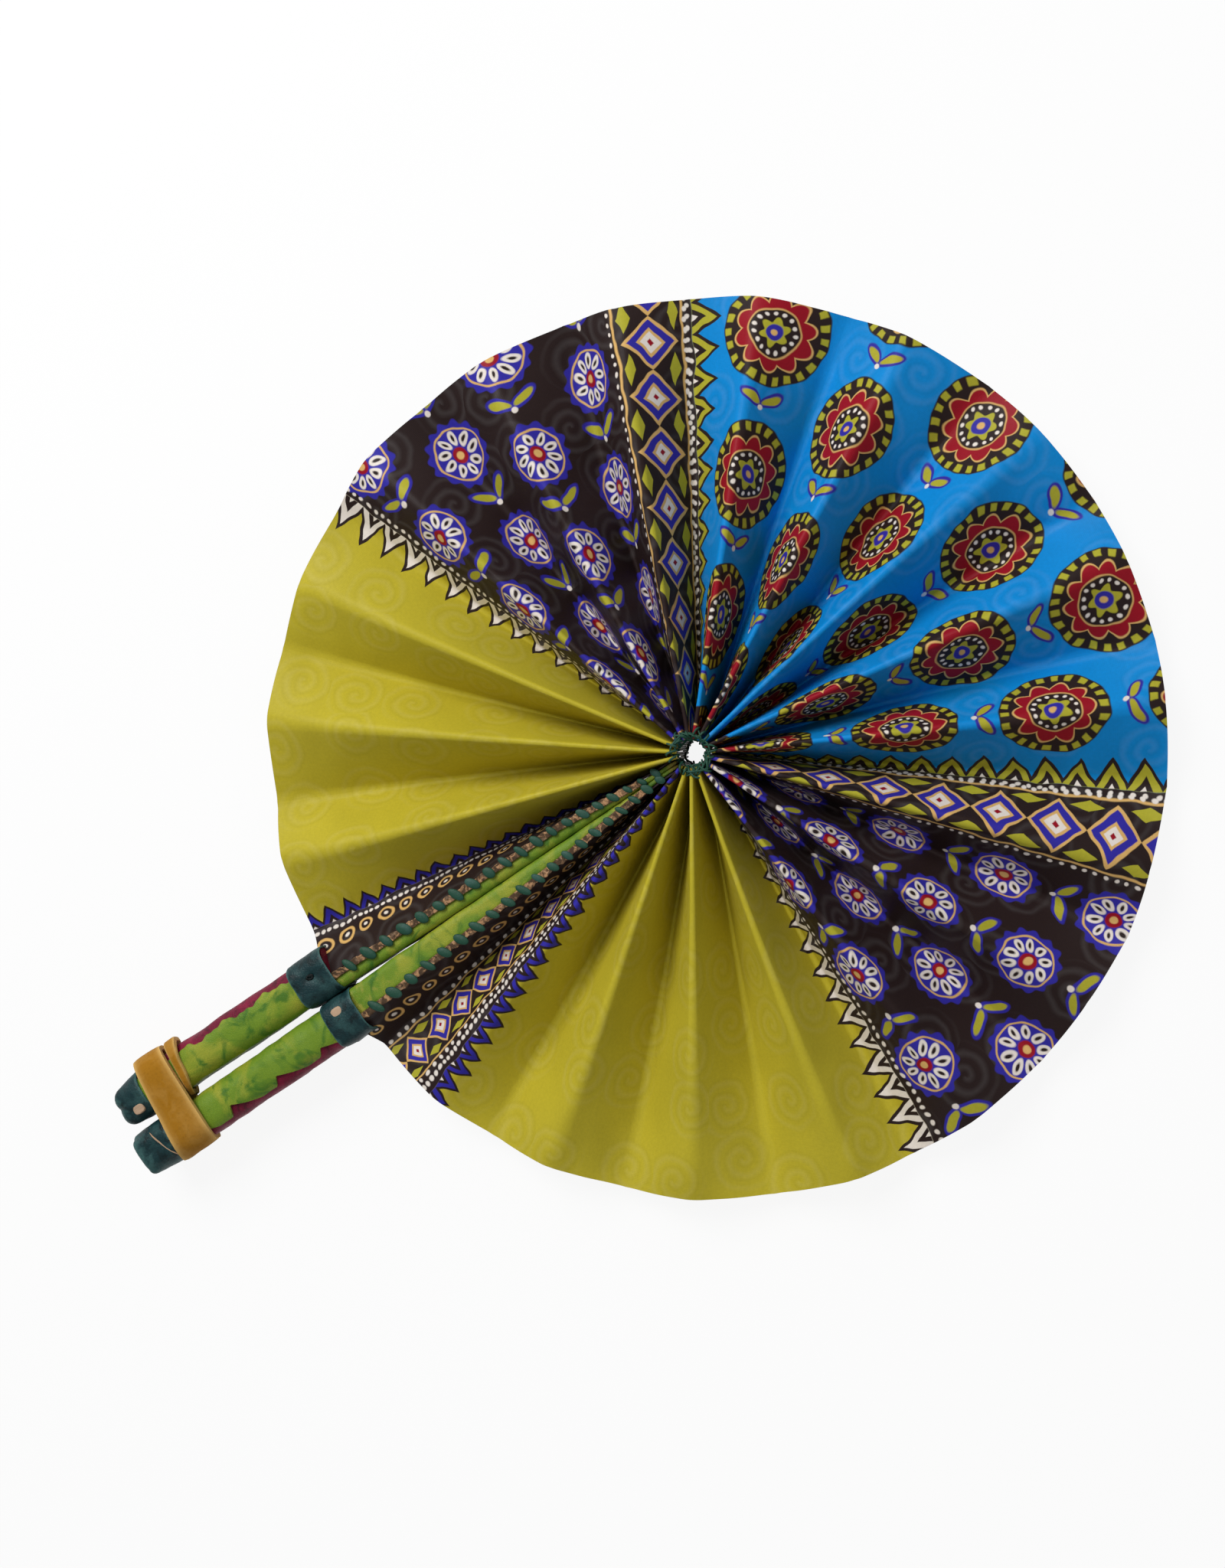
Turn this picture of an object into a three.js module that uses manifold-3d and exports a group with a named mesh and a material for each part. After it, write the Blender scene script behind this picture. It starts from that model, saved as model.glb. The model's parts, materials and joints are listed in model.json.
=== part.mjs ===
// A cockade hand fan: a pleated cloth leaf that opens to a full disc between two leather-covered sticks.
// The sticks come together as the handle, and a suede strap holds them.
// Millimetres, +Z up. The open fan lies flat with its handle along -Y. The origin is the bottom
// centre of its box.

import * as THREE from 'three';
import { mergeVertices } from 'three/addons/utils/BufferGeometryUtils.js';
import Module from 'manifold-3d';

// Cloth leaf
const LEAF_RADIUS = 150;
const LEAF_INNER_RADIUS = 7.5;
const PLEAT_COUNT = 18;
const RIM_FOLD_DEPTH = 7.5;
const CLOTH_THICKNESS = 0.7;
const CREASE_GAP = 0.3;
const END_SECTOR_ANGLE = 9;
const END_SETBACK = 4;
const PLEAT_STATIONS = 11;

// Place of the two sticks
const HALF_GAP = 0.2;
const SPLAY_ANGLE = 0.25;

// Spine of a stick, which carries the leaf's end
const SPINE_TIP_DISTANCE = 20;
const SPINE_TAPER_END = 52;
const SPINE_TAPER_ANGLE = 5.4;
const RIGHT_SPINE_RIM_WIDTH = 11.2;
const LEFT_SPINE_RIM_WIDTH = 5.4;
const SPINE_HEIGHT = 16;
const SPINE_CORNER = 1.2;
const SLEEVE_WALL = 1.1;
const BORE_START = 40;
const SEAM_DROP = 1;

// Grip of a stick
const NECK_LENGTH = 1.5;
const GRIP_LENGTH = 68;
const GRIP_WIDTH = 14.6;
const GRIP_HEIGHT = 19.5;
const GRIP_CORNER = 3.5;
const WRAP_THICKNESS = 1;
const LINING_THICKNESS = 1;
const SCALLOP_PITCH = 16;
const SCALLOP_DEPTH = 1.5;
const SCALLOP_INSET = 1.4;
const SCALLOP_STEPS = 4;

// Leather bands on the grip
const BAND_WALL = 0.8;
const COLLAR_LENGTH = 14;
const CAP_LENGTH = 13.9;
const CAP_FLOOR = 1.2;
const CAP_TAPER_LENGTH = 5;
const CAP_TAPER_DEPTH = 1.6;
const PEG_DIAMETER = 3.6;
const PEG_PROUD = 0.15;

// Seam lacing
const LACING_START = 44;
const LACING_RIM_MARGIN = 3;
const STITCH_PITCH = 7.8;
const STITCH_REACH = 2.8;
const STITCH_OVERHANG = 0.9;
const LACE_WIDTH = 2;
const LACE_THICKNESS = 0.9;
const WELT_WIDTH = 1.8;
const WELT_THICKNESS = 0.6;

// Thread that gathers the pleats at the hub
const THREAD_DIAMETER = 1.1;
const THREAD_TURNS = 2;
const THREAD_TURN_PITCH = 1.6;
const THREAD_INSET = 2.5;

// Suede strap
const STRAP_WIDTH = 14.5;
const STRAP_THICKNESS = 1.9;
const STRAP_CORNER = 6;
const STRAP_LAP = 0.8;
const STRAP_CLEARANCE = 0.3;
const KEEPER_WIDTH = 4.8;
const KEEPER_INNER_WALL = 1.6;

// Clearances
const FIT = 0.2;
const SEAT = 0.3;
const LEAST_CORNER = 0.2;

// Facets
const CORNER_STEPS = 3;
const CAP_STEPS = 3;
const TUBE_SIDES = 6;
const TURN_STEPS = 24;
const PEG_SIDES = 12;

// Values worked out from the sizes
const radians = THREE.MathUtils.degToRad;
const lerp = THREE.MathUtils.lerp;
const creaseAngle = radians((360 - 2 * END_SECTOR_ANGLE) / (2 * PLEAT_COUNT));
const panelWidth = Math.hypot(LEAF_RADIUS * Math.sin(creaseAngle), RIM_FOLD_DEPTH);
const splay = radians(SPLAY_ANGLE);
const endRadius = LEAF_RADIUS - END_SETBACK;
const collarStart = endRadius + SEAT;
const gripStart = collarStart + NECK_LENGTH;
const collarEnd = collarStart + COLLAR_LENGTH;
const capStart = collarEnd + GRIP_LENGTH;
const handleReach = capStart + CAP_LENGTH;
const gripEnd = handleReach - CAP_FLOOR - FIT;
const spineHalf = SPINE_HEIGHT / 2;
const spineRimWidth = { right: RIGHT_SPINE_RIM_WIDTH, left: LEFT_SPINE_RIM_WIDTH };

// Finishes
const finish = (color, roughness) => new THREE.MeshStandardMaterial({ color, roughness, flatShading: true });
const printedCotton = finish(0xb4aa30, 0.7);
const greenLeather = finish(0x6e9628, 0.55);
const tealLeather = finish(0x193c41, 0.55);
const crimsonLeather = finish(0x781432, 0.6);
const tanSuede = finish(0xb9872d, 0.9);
const tanLeather = finish(0xb07a50, 0.7);
const greenThread = finish(0x19503c, 0.8);
const paleWood = finish(0xbea082, 0.75);
const stickWood = finish(0xc8a878, 0.8);

const wasm = await Module();
wasm.setup();

// A direction that no ring of the fan faces, to turn rings flat with
const oblique = new THREE.Vector3(0.31, 0.57, 0.76);

// Triangles that close a ring, in the ring's own order
function capTriangles(ring) {
  const normal = new THREE.Vector3();
  ring.forEach((point, i) => {
    normal.add(new THREE.Vector3().crossVectors(point, ring[(i + 1) % ring.length]));
  });
  normal.normalize();
  const across = oblique.clone().cross(normal).normalize();
  const up = new THREE.Vector3().crossVectors(normal, across);
  const flat = ring.map((point) => new THREE.Vector2(point.dot(across), point.dot(up)));
  return THREE.ShapeUtils.triangulateShape(flat, []).map(([i, j, k]) => {
    const turn = flat[j].clone().sub(flat[i]).cross(flat[k].clone().sub(flat[i]));
    return turn > 0 ? [i, j, k] : [i, k, j];
  });
}

function signedVolume(points, faces) {
  const cross = new THREE.Vector3();
  return faces.reduce((sum, [i, j, k]) => sum + points[i].dot(cross.crossVectors(points[j], points[k])) / 6, 0);
}

function bodyGeometry(points, faces) {
  const outward = signedVolume(points, faces) > 0 ? faces : faces.map(([i, j, k]) => [i, k, j]);
  const geometry = new THREE.BufferGeometry().setFromPoints(points);
  geometry.setIndex(outward.flat());
  geometry.computeVertexNormals();
  return geometry;
}

// A closed solid over a chain of rings. A looped chain joins its last ring to its first, and an open
// chain is closed at both ends. The four-sided faces along the crossed edges of the rings are split
// along their other diagonal, so that the two faces of a twisted wall run alike.
function skin(rings, { looped = false, crossed = [] } = {}) {
  const size = rings[0].length;
  const faces = [];
  const joins = looped ? rings.length : rings.length - 1;
  for (let ring = 0; ring < joins; ring++) {
    const a = ring * size;
    const b = ((ring + 1) % rings.length) * size;
    for (let i = 0; i < size; i++) {
      const j = (i + 1) % size;
      if (crossed.includes(i)) {
        faces.push([a + i, a + j, b + i], [a + j, b + j, b + i]);
      } else {
        faces.push([a + i, a + j, b + j], [a + i, b + j, b + i]);
      }
    }
  }
  if (!looped) {
    const last = (rings.length - 1) * size;
    capTriangles(rings[0]).forEach(([i, j, k]) => faces.push([k, j, i]));
    capTriangles(rings[rings.length - 1]).forEach(([i, j, k]) => faces.push([last + i, last + j, last + k]));
  }
  return bodyGeometry(rings.flat(), faces);
}

const pipe = (outer, inner) => skin([...outer, ...inner.toReversed()], { looped: true });

// A section of a stick: a rectangle with round corners, x0 to x1 wide and half its height each way
const section = (x0, x1, half, corner) => ({ x0, x1, half, corner });
const grown = (s, by) => section(s.x0 - by, s.x1 + by, s.half + by, s.corner + by);

function cornerArc(x, z, radius, from, to = from + Math.PI / 2) {
  return Array.from({ length: CORNER_STEPS + 1 }, (_, step) => {
    const angle = lerp(from, to, step / CORNER_STEPS);
    return [x + radius * Math.cos(angle), z + radius * Math.sin(angle)];
  });
}

// The ring of a section at a distance from the hub along the stick
function sectionRing(distance, { x0, x1, half, corner }) {
  const widest = Math.min((x1 - x0) / 2, half) - LEAST_CORNER;
  const radius = Math.max(LEAST_CORNER, Math.min(corner, widest));
  const outline = [
    ...cornerArc(x1 - radius, half - radius, radius, 0),
    ...cornerArc(x0 + radius, half - radius, radius, Math.PI / 2),
    ...cornerArc(x0 + radius, radius - half, radius, Math.PI),
    ...cornerArc(x1 - radius, radius - half, radius, 1.5 * Math.PI),
  ];
  return outline.map(([x, z]) => new THREE.Vector3(x, -distance, z));
}

// Height from ridge to valley of a pleat at a distance from the hub: the panels keep their width
function foldDepth(distance) {
  return Math.sqrt(panelWidth ** 2 - (distance * Math.sin(creaseAngle)) ** 2);
}

// Distances for the leaf's sections, closer together at the rim, where the folds flatten fastest
function leafStations(start, end) {
  return Array.from({ length: PLEAT_STATIONS }, (_, i) => {
    const share = i / (PLEAT_STATIONS - 1);
    return lerp(start, end, Math.sin((share * Math.PI) / 2));
  });
}

// One pleat: two panels that meet in a ridge along +X, each cut off half a gap short of its valley
function pleatGeometry() {
  const half = CLOTH_THICKNESS / 2;
  const rings = leafStations(LEAF_INNER_RADIUS, LEAF_RADIUS).map((distance) => {
    const depth = foldDepth(distance);
    const valley = distance * Math.sin(creaseAngle);
    const lean = depth / panelWidth;
    const rise = valley / panelWidth;
    const edge = valley - CREASE_GAP / 2;
    const top = depth / 2 + half * rise;
    const slope = depth / valley;
    const innerRidge = [0, depth / 2 - half / rise];
    const heel = Math.min(valley - half * lean, edge - CREASE_GAP / 2);
    const bottom = innerRidge[1] - heel * slope;
    const side = [
      [half * lean, top],
      [edge, top - (edge - half * lean) * slope],
      [edge, bottom],
      [heel, bottom],
    ];
    const mirrored = side.toReversed().map(([y, z]) => [-y, z]);
    const bow = distance * (1 - Math.cos(creaseAngle));
    return [...side, innerRidge, ...mirrored].map(([y, z]) => {
      return new THREE.Vector3(distance - bow * (Math.abs(y) / valley), y, z);
    });
  });
  const nearPanelInside = 3;
  const farPanelOutside = 7;
  return skin(rings, { crossed: [nearPanelInside, farPanelOutside] });
}

// Outer face of the spine, which the leaf's end is sewn to
function spineFace(side, distance) {
  const taperFace = SPINE_TAPER_END * Math.tan(radians(SPINE_TAPER_ANGLE));
  if (distance <= SPINE_TAPER_END) {
    return distance * Math.tan(radians(SPINE_TAPER_ANGLE));
  }
  const share = (distance - SPINE_TAPER_END) / (endRadius - SPINE_TAPER_END);
  return lerp(taperFace, HALF_GAP + spineRimWidth[side], share);
}

function spineRing(side, distance, inset) {
  const spine = section(HALF_GAP, spineFace(side, distance), spineHalf, SPINE_CORNER);
  return sectionRing(distance, grown(spine, -inset));
}

// End panel: from the seam at the top of the spine down to the first valley
function endPanelGeometry(side) {
  const half = CLOTH_THICKNESS / 2;
  const valleyAngle = radians(END_SECTOR_ANGLE) - splay;
  const stations = [...leafStations(SPINE_TIP_DISTANCE + 2 * SEAT, endRadius), SPINE_TAPER_END];
  stations.sort((a, b) => a - b);
  const rings = stations.map((distance) => {
    const seam = new THREE.Vector2(spineFace(side, distance) + SEAT + half, spineHalf - SEAM_DROP);
    const valley = new THREE.Vector2(distance * Math.sin(valleyAngle), -foldDepth(distance) / 2);
    const along = valley.clone().sub(seam).normalize();
    const normal = new THREE.Vector2(-along.y, along.x).multiplyScalar(half);
    const upper = seam.clone().add(normal);
    const lower = seam.clone().sub(normal);
    const slope = along.y / along.x;
    const edge = valley.x - CREASE_GAP / 2;
    const heel = Math.min(valley.x - normal.x, edge - CREASE_GAP / 2);
    const bottom = lower.y + (heel - lower.x) * slope;
    const outline = [
      [upper.x, upper.y],
      [edge, upper.y + (edge - upper.x) * slope],
      [edge, bottom],
      [heel, bottom],
      [lower.x, lower.y],
    ];
    const bow = distance * (1 - Math.cos(valleyAngle));
    return outline.map(([x, z]) => new THREE.Vector3(x, bow * (x / valley.x) - distance, z));
  });
  const panelInside = 3;
  return skin(rings, { crossed: [panelInside] });
}

// Layers of the grip: the lining inside the wrap, and the bands over both
const wrapInner = HALF_GAP + BAND_WALL + FIT;
const wrapSection = section(wrapInner, wrapInner + GRIP_WIDTH, GRIP_HEIGHT / 2, GRIP_CORNER);
const liningSection = grown(wrapSection, -WRAP_THICKNESS - FIT);
const bandSection = grown(wrapSection, FIT);
const bandOuter = grown(bandSection, BAND_WALL);

// Wooden stick: a thin blade inside the spine and a thick bar inside the grip
function coreGeometry(side) {
  const bladeInset = SLEEVE_WALL + FIT;
  const bar = grown(liningSection, -LINING_THICKNESS - FIT);
  return skin([
    spineRing(side, BORE_START + FIT, bladeInset),
    spineRing(side, SPINE_TAPER_END, bladeInset),
    spineRing(side, endRadius, bladeInset),
    sectionRing(collarStart + NECK_LENGTH / 2, bar),
    sectionRing(gripEnd, bar),
  ]);
}

// Leather sleeve of the spine: solid at its tip, with a bore for the stick from the rim end
function sleeveGeometry(side) {
  return skin([
    spineRing(side, BORE_START, SLEEVE_WALL),
    spineRing(side, SPINE_TAPER_END, SLEEVE_WALL),
    spineRing(side, endRadius, SLEEVE_WALL),
    spineRing(side, endRadius, 0),
    spineRing(side, SPINE_TAPER_END, 0),
    spineRing(side, SPINE_TIP_DISTANCE, 0),
  ]);
}

function liningGeometry() {
  const bore = grown(liningSection, -LINING_THICKNESS);
  const ends = [gripStart, gripEnd];
  return pipe(
    ends.map((d) => sectionRing(d, liningSection)),
    ends.map((d) => sectionRing(d, bore)),
  );
}

// Outer leather of the grip: a channel, open to the outside, with scalloped edges on the round corners
function wrapGeometry() {
  const length = gripEnd - gripStart;
  const steps = Math.round((length / SCALLOP_PITCH) * SCALLOP_STEPS);
  const left = wrapSection.x0 + GRIP_CORNER;
  const right = wrapSection.x1 - GRIP_CORNER;
  const level = wrapSection.half - GRIP_CORNER;
  const channel = (edgeAngle, radius) => [
    ...cornerArc(right, level, radius, edgeAngle, Math.PI / 2),
    ...cornerArc(left, level, radius, Math.PI / 2),
    ...cornerArc(left, -level, radius, Math.PI),
    ...cornerArc(right, -level, radius, 1.5 * Math.PI, 2 * Math.PI - edgeAngle),
  ];
  const rings = Array.from({ length: steps + 1 }, (_, step) => {
    const distance = gripStart + (step / steps) * length;
    const wave = Math.abs(Math.sin((Math.PI * (distance - collarEnd)) / SCALLOP_PITCH));
    const inset = SCALLOP_INSET + SCALLOP_DEPTH * (1 - wave);
    const edgeAngle = Math.acos(1 - inset / GRIP_CORNER);
    const outside = channel(edgeAngle, GRIP_CORNER);
    const inside = channel(edgeAngle, GRIP_CORNER - WRAP_THICKNESS);
    return [...outside, ...inside.toReversed()].map(([x, z]) => new THREE.Vector3(x, -distance, z));
  });
  return skin(rings);
}

function collarGeometry() {
  const ends = [collarStart, collarEnd];
  return pipe(
    ends.map((d) => sectionRing(d, bandOuter)),
    ends.map((d) => sectionRing(d, bandSection)),
  );
}

// Leather cap: a cup over the end of the grip, drawn in round at its closed end
function capGeometry() {
  const rounding = Array.from({ length: CAP_STEPS + 1 }, (_, step) => {
    const angle = ((step / CAP_STEPS) * Math.PI) / 2;
    const distance = handleReach - CAP_TAPER_LENGTH * (1 - Math.sin(angle));
    return sectionRing(distance, grown(bandOuter, -CAP_TAPER_DEPTH * (1 - Math.cos(angle))));
  });
  return skin([
    sectionRing(handleReach - CAP_FLOOR, bandSection),
    sectionRing(capStart, bandSection),
    sectionRing(capStart, bandOuter),
    ...rounding,
  ]);
}

// Pegs sit in holes through the top of a band
const pegTop = bandOuter.half + PEG_PROUD;
const pegBottom = GRIP_HEIGHT / 2 + FIT / 2;
const pegAcross = bandOuter.x0 + bandOuter.corner + PEG_DIAMETER / 2 + FIT;
const collarPegPlace = [pegAcross, collarStart + COLLAR_LENGTH / 2];
const capPegPlace = [pegAcross, capStart + STRAP_LAP + PEG_DIAMETER + SEAT];

function pegGeometry([x, distance], radius, bottom) {
  const geometry = new THREE.CylinderGeometry(radius, radius, pegTop - bottom, PEG_SIDES);
  geometry.rotateX(Math.PI / 2);
  geometry.translate(x, -distance, (pegTop + bottom) / 2);
  return geometry;
}

function asManifold(geometry) {
  const bare = geometry.clone();
  bare.deleteAttribute('normal');
  bare.deleteAttribute('uv');
  const merged = mergeVertices(bare);
  const vertProperties = merged.attributes.position.array;
  const triVerts = new Uint32Array(merged.index.array);
  return new wasm.Manifold(new wasm.Mesh({ numProp: 3, vertProperties, triVerts }));
}

// A band with the hole for its peg
function drilled(band, place) {
  const drill = pegGeometry(place, PEG_DIAMETER / 2 + FIT, GRIP_HEIGHT / 2 - FIT);
  const cut = asManifold(band).subtract(asManifold(drill)).getMesh();
  const geometry = new THREE.BufferGeometry();
  geometry.setAttribute('position', new THREE.BufferAttribute(cut.vertProperties, 3));
  geometry.setIndex(new THREE.BufferAttribute(cut.triVerts, 1));
  geometry.computeVertexNormals();
  return geometry;
}

// Welt: a strip of leather under the stitches, along the edge of the spine's top
const weltBottom = spineHalf + SEAT;
const lacingEnd = endRadius - LACING_RIM_MARGIN;

function weltGeometry(side) {
  const rings = [LACING_START, SPINE_TAPER_END, lacingEnd].map((distance) => {
    const outside = spineFace(side, distance) - SEAT;
    const outline = [
      [outside, weltBottom],
      [outside, weltBottom + WELT_THICKNESS],
      [outside - WELT_WIDTH, weltBottom + WELT_THICKNESS],
      [outside - WELT_WIDTH, weltBottom],
    ];
    return outline.map(([x, z]) => new THREE.Vector3(x, -distance, z));
  });
  return skin(rings);
}

// A tube along a list of points, with an elliptical section that stays level
function tubeGeometry(points, width, thickness) {
  const level = new THREE.Vector3(0, 0, 1);
  const rings = points.map((point, i) => {
    const before = points[Math.max(i - 1, 0)];
    const after = points[Math.min(i + 1, points.length - 1)];
    const toHere = point.clone().sub(before).normalize();
    const fromHere = after.clone().sub(point).normalize();
    const side = toHere.add(fromHere).normalize().cross(level);
    return Array.from({ length: TUBE_SIDES }, (_, corner) => {
      const angle = ((corner + 0.5) / TUBE_SIDES) * 2 * Math.PI;
      return point
        .clone()
        .addScaledVector(side, (width / 2) * Math.cos(angle))
        .addScaledVector(level, (thickness / 2) * Math.sin(angle));
    });
  });
  return skin(rings);
}

// Lacing: one lace that crosses the seam to and fro
function lacingGeometry(side) {
  const height = weltBottom + WELT_THICKNESS + SEAT + LACE_THICKNESS / 2;
  const crossings = 2 * Math.floor((lacingEnd - LACING_START) / STITCH_PITCH);
  const points = Array.from({ length: crossings + 1 }, (_, i) => {
    const distance = LACING_START + (i * STITCH_PITCH) / 2;
    const offset = i % 2 ? STITCH_OVERHANG : -STITCH_REACH;
    return new THREE.Vector3(spineFace(side, distance) + offset, -distance, height);
  });
  return tubeGeometry(points, LACE_WIDTH, LACE_THICKNESS);
}

// Gathering thread: a flat spiral of two turns inside the ring of pleat ends
function threadPoints() {
  const outer = LEAF_INNER_RADIUS * Math.cos(creaseAngle) - SEAT - THREAD_DIAMETER / 2;
  return Array.from({ length: THREAD_TURNS * TURN_STEPS + 1 }, (_, step) => {
    const turn = step / TURN_STEPS;
    const radius = outer - turn * THREAD_TURN_PITCH;
    const angle = 2 * Math.PI * turn;
    return new THREE.Vector3(radius * Math.cos(angle), radius * Math.sin(angle), 0);
  });
}

function leastThreadGap(points) {
  let least = Infinity;
  points.forEach((point, i) => {
    points.slice(i + TURN_STEPS / 2).forEach((other) => {
      least = Math.min(least, point.distanceTo(other));
    });
  });
  return least - THREAD_DIAMETER;
}

// Strap: one loop around both sticks and a narrower one around the left stick alone
const strapReach = bandOuter.x1 + handleReach * Math.tan(splay) + STRAP_CLEARANCE;
const strapInner = section(
  -strapReach,
  strapReach,
  bandOuter.half + STRAP_CLEARANCE,
  STRAP_CORNER - STRAP_THICKNESS,
);
const strapOuter = grown(strapInner, STRAP_THICKNESS);
const strapEnd = capStart + STRAP_LAP;
const strapStart = strapEnd - STRAP_WIDTH;

function strapGeometry() {
  const ends = [strapStart, strapEnd];
  return pipe(
    ends.map((d) => sectionRing(d, strapOuter)),
    ends.map((d) => sectionRing(d, strapInner)),
  );
}

function keeperGeometry() {
  const ends = [strapStart - SEAT - KEEPER_WIDTH, strapStart - SEAT];
  const outer = { ...strapOuter, x1: KEEPER_INNER_WALL / 2 };
  const inner = { ...strapInner, x1: -KEEPER_INNER_WALL / 2 };
  return pipe(
    ends.map((d) => sectionRing(d, outer)),
    ends.map((d) => sectionRing(d, inner)),
  );
}

function named(name, geometry, material) {
  const mesh = new THREE.Mesh(geometry, material);
  mesh.name = name;
  return mesh;
}

// One stick with its leather, its lacing and its end of the leaf, built as the right one
function stick(side, hasCollarPeg, hasCapPeg) {
  const group = new THREE.Group();
  const collar = collarGeometry();
  const cap = capGeometry();
  group.add(
    named(`${side}_core`, coreGeometry(side), stickWood),
    named(`${side}_spine_sleeve`, sleeveGeometry(side), greenLeather),
    named(`${side}_lining`, liningGeometry(), crimsonLeather),
    named(`${side}_grip_wrap`, wrapGeometry(), greenLeather),
    named(`${side}_collar`, hasCollarPeg ? drilled(collar, collarPegPlace) : collar, tealLeather),
    named(`${side}_cap`, hasCapPeg ? drilled(cap, capPegPlace) : cap, tealLeather),
    named(`${side}_welt`, weltGeometry(side), tanLeather),
    named(`${side}_lacing`, lacingGeometry(side), greenThread),
    named(`${side}_end_panel`, endPanelGeometry(side), printedCotton),
  );
  if (hasCollarPeg) {
    group.add(named(`${side}_collar_peg`, pegGeometry(collarPegPlace, PEG_DIAMETER / 2, pegBottom), paleWood));
  }
  if (hasCapPeg) {
    group.add(named(`${side}_cap_peg`, pegGeometry(capPegPlace, PEG_DIAMETER / 2, pegBottom), paleWood));
  }
  group.rotation.z = splay;
  return group;
}

function leaf() {
  const group = new THREE.Group();
  const geometry = pleatGeometry();
  for (let pleat = 0; pleat < PLEAT_COUNT; pleat++) {
    const number = String(pleat + 1).padStart(2, '0');
    const mesh = named(`pleat_${number}`, geometry, printedCotton);
    mesh.rotation.z = radians(END_SECTOR_ANGLE - 90) + (2 * pleat + 1) * creaseAngle;
    group.add(mesh);
  }
  return group;
}

// Gathering threads near the upper and the lower ends of the folds
function gatherThreads(leafHalf) {
  const group = new THREE.Group();
  const points = threadPoints();
  const geometry = tubeGeometry(points, THREAD_DIAMETER, THREAD_DIAMETER);
  const height = leafHalf - THREAD_INSET;
  [['top', height], ['bottom', -height]].forEach(([end, z]) => {
    const mesh = named(`gather_thread_${end}`, geometry, greenThread);
    mesh.position.z = z;
    group.add(mesh);
  });
  console.log(`least gap between thread turns: ${leastThreadGap(points).toFixed(2)} mm`);
  return group;
}

const innerRise = (LEAF_INNER_RADIUS * Math.sin(creaseAngle)) / panelWidth;
const leafHalf = (foldDepth(LEAF_INNER_RADIUS) + CLOTH_THICKNESS * innerRise) / 2;
const right = stick('right', true, false);
const left = new THREE.Group();
left.add(stick('left', false, true));
left.scale.x = -1;

const fan = new THREE.Group();
fan.name = 'fabric_hand_fan';
fan.add(
  right,
  left,
  leaf(),
  gatherThreads(leafHalf),
  named('strap_loop', strapGeometry(), tanSuede),
  named('strap_keeper', keeperGeometry(), tanSuede),
);
fan.position.set(0, (handleReach - LEAF_RADIUS) / 2, Math.max(leafHalf, strapOuter.half));

export default fan;
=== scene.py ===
"""Looks of a fabric hand fan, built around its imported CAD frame.

Lengths inside the functions are millimetres from the hub of the fan, with the handle along -Y.
Meshes are in metres, in the frame of the CAD model.
"""

import json
import math

import bpy
import numpy as np
from bpy.props import FloatProperty, FloatVectorProperty, IntProperty, PointerProperty
from mathutils import Matrix, Vector

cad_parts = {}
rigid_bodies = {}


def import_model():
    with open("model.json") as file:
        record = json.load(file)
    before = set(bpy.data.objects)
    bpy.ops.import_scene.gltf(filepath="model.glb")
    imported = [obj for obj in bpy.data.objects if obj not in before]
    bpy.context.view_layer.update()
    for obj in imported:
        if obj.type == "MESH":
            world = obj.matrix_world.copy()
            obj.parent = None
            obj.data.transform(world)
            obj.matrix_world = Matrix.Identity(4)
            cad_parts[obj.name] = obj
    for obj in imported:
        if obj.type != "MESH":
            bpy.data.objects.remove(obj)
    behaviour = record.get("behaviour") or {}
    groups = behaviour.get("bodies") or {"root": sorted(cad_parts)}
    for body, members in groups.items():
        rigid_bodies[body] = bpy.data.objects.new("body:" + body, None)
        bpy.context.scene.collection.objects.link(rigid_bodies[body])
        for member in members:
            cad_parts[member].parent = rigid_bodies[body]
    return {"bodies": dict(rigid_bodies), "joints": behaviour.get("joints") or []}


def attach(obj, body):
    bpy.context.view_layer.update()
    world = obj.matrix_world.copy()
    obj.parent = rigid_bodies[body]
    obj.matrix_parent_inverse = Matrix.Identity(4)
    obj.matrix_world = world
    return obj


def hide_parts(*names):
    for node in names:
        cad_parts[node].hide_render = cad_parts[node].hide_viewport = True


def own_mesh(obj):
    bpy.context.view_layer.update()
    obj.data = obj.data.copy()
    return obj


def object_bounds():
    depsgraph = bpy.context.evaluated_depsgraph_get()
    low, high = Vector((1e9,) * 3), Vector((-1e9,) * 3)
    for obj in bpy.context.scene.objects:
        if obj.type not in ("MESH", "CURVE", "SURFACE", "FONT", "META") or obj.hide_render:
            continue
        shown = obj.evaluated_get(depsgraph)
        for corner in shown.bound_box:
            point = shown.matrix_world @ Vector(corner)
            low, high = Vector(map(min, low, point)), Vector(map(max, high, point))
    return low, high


bl_info = {
    "name": "Fabric Hand Fan",
    "version": (1, 0, 0),
    "blender": (4, 5, 0),
    "location": "3D View > Sidebar > Hand Fan",
    "description": "Dresses the frame of a pleated hand fan in cloth, leather and suede",
    "category": "Object",
}

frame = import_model()
CAD_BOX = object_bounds()
FOLD = next(joint for joint in frame["joints"] if joint["name"] == "fold")
HUB = Vector(FOLD["pos_m"])

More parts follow.
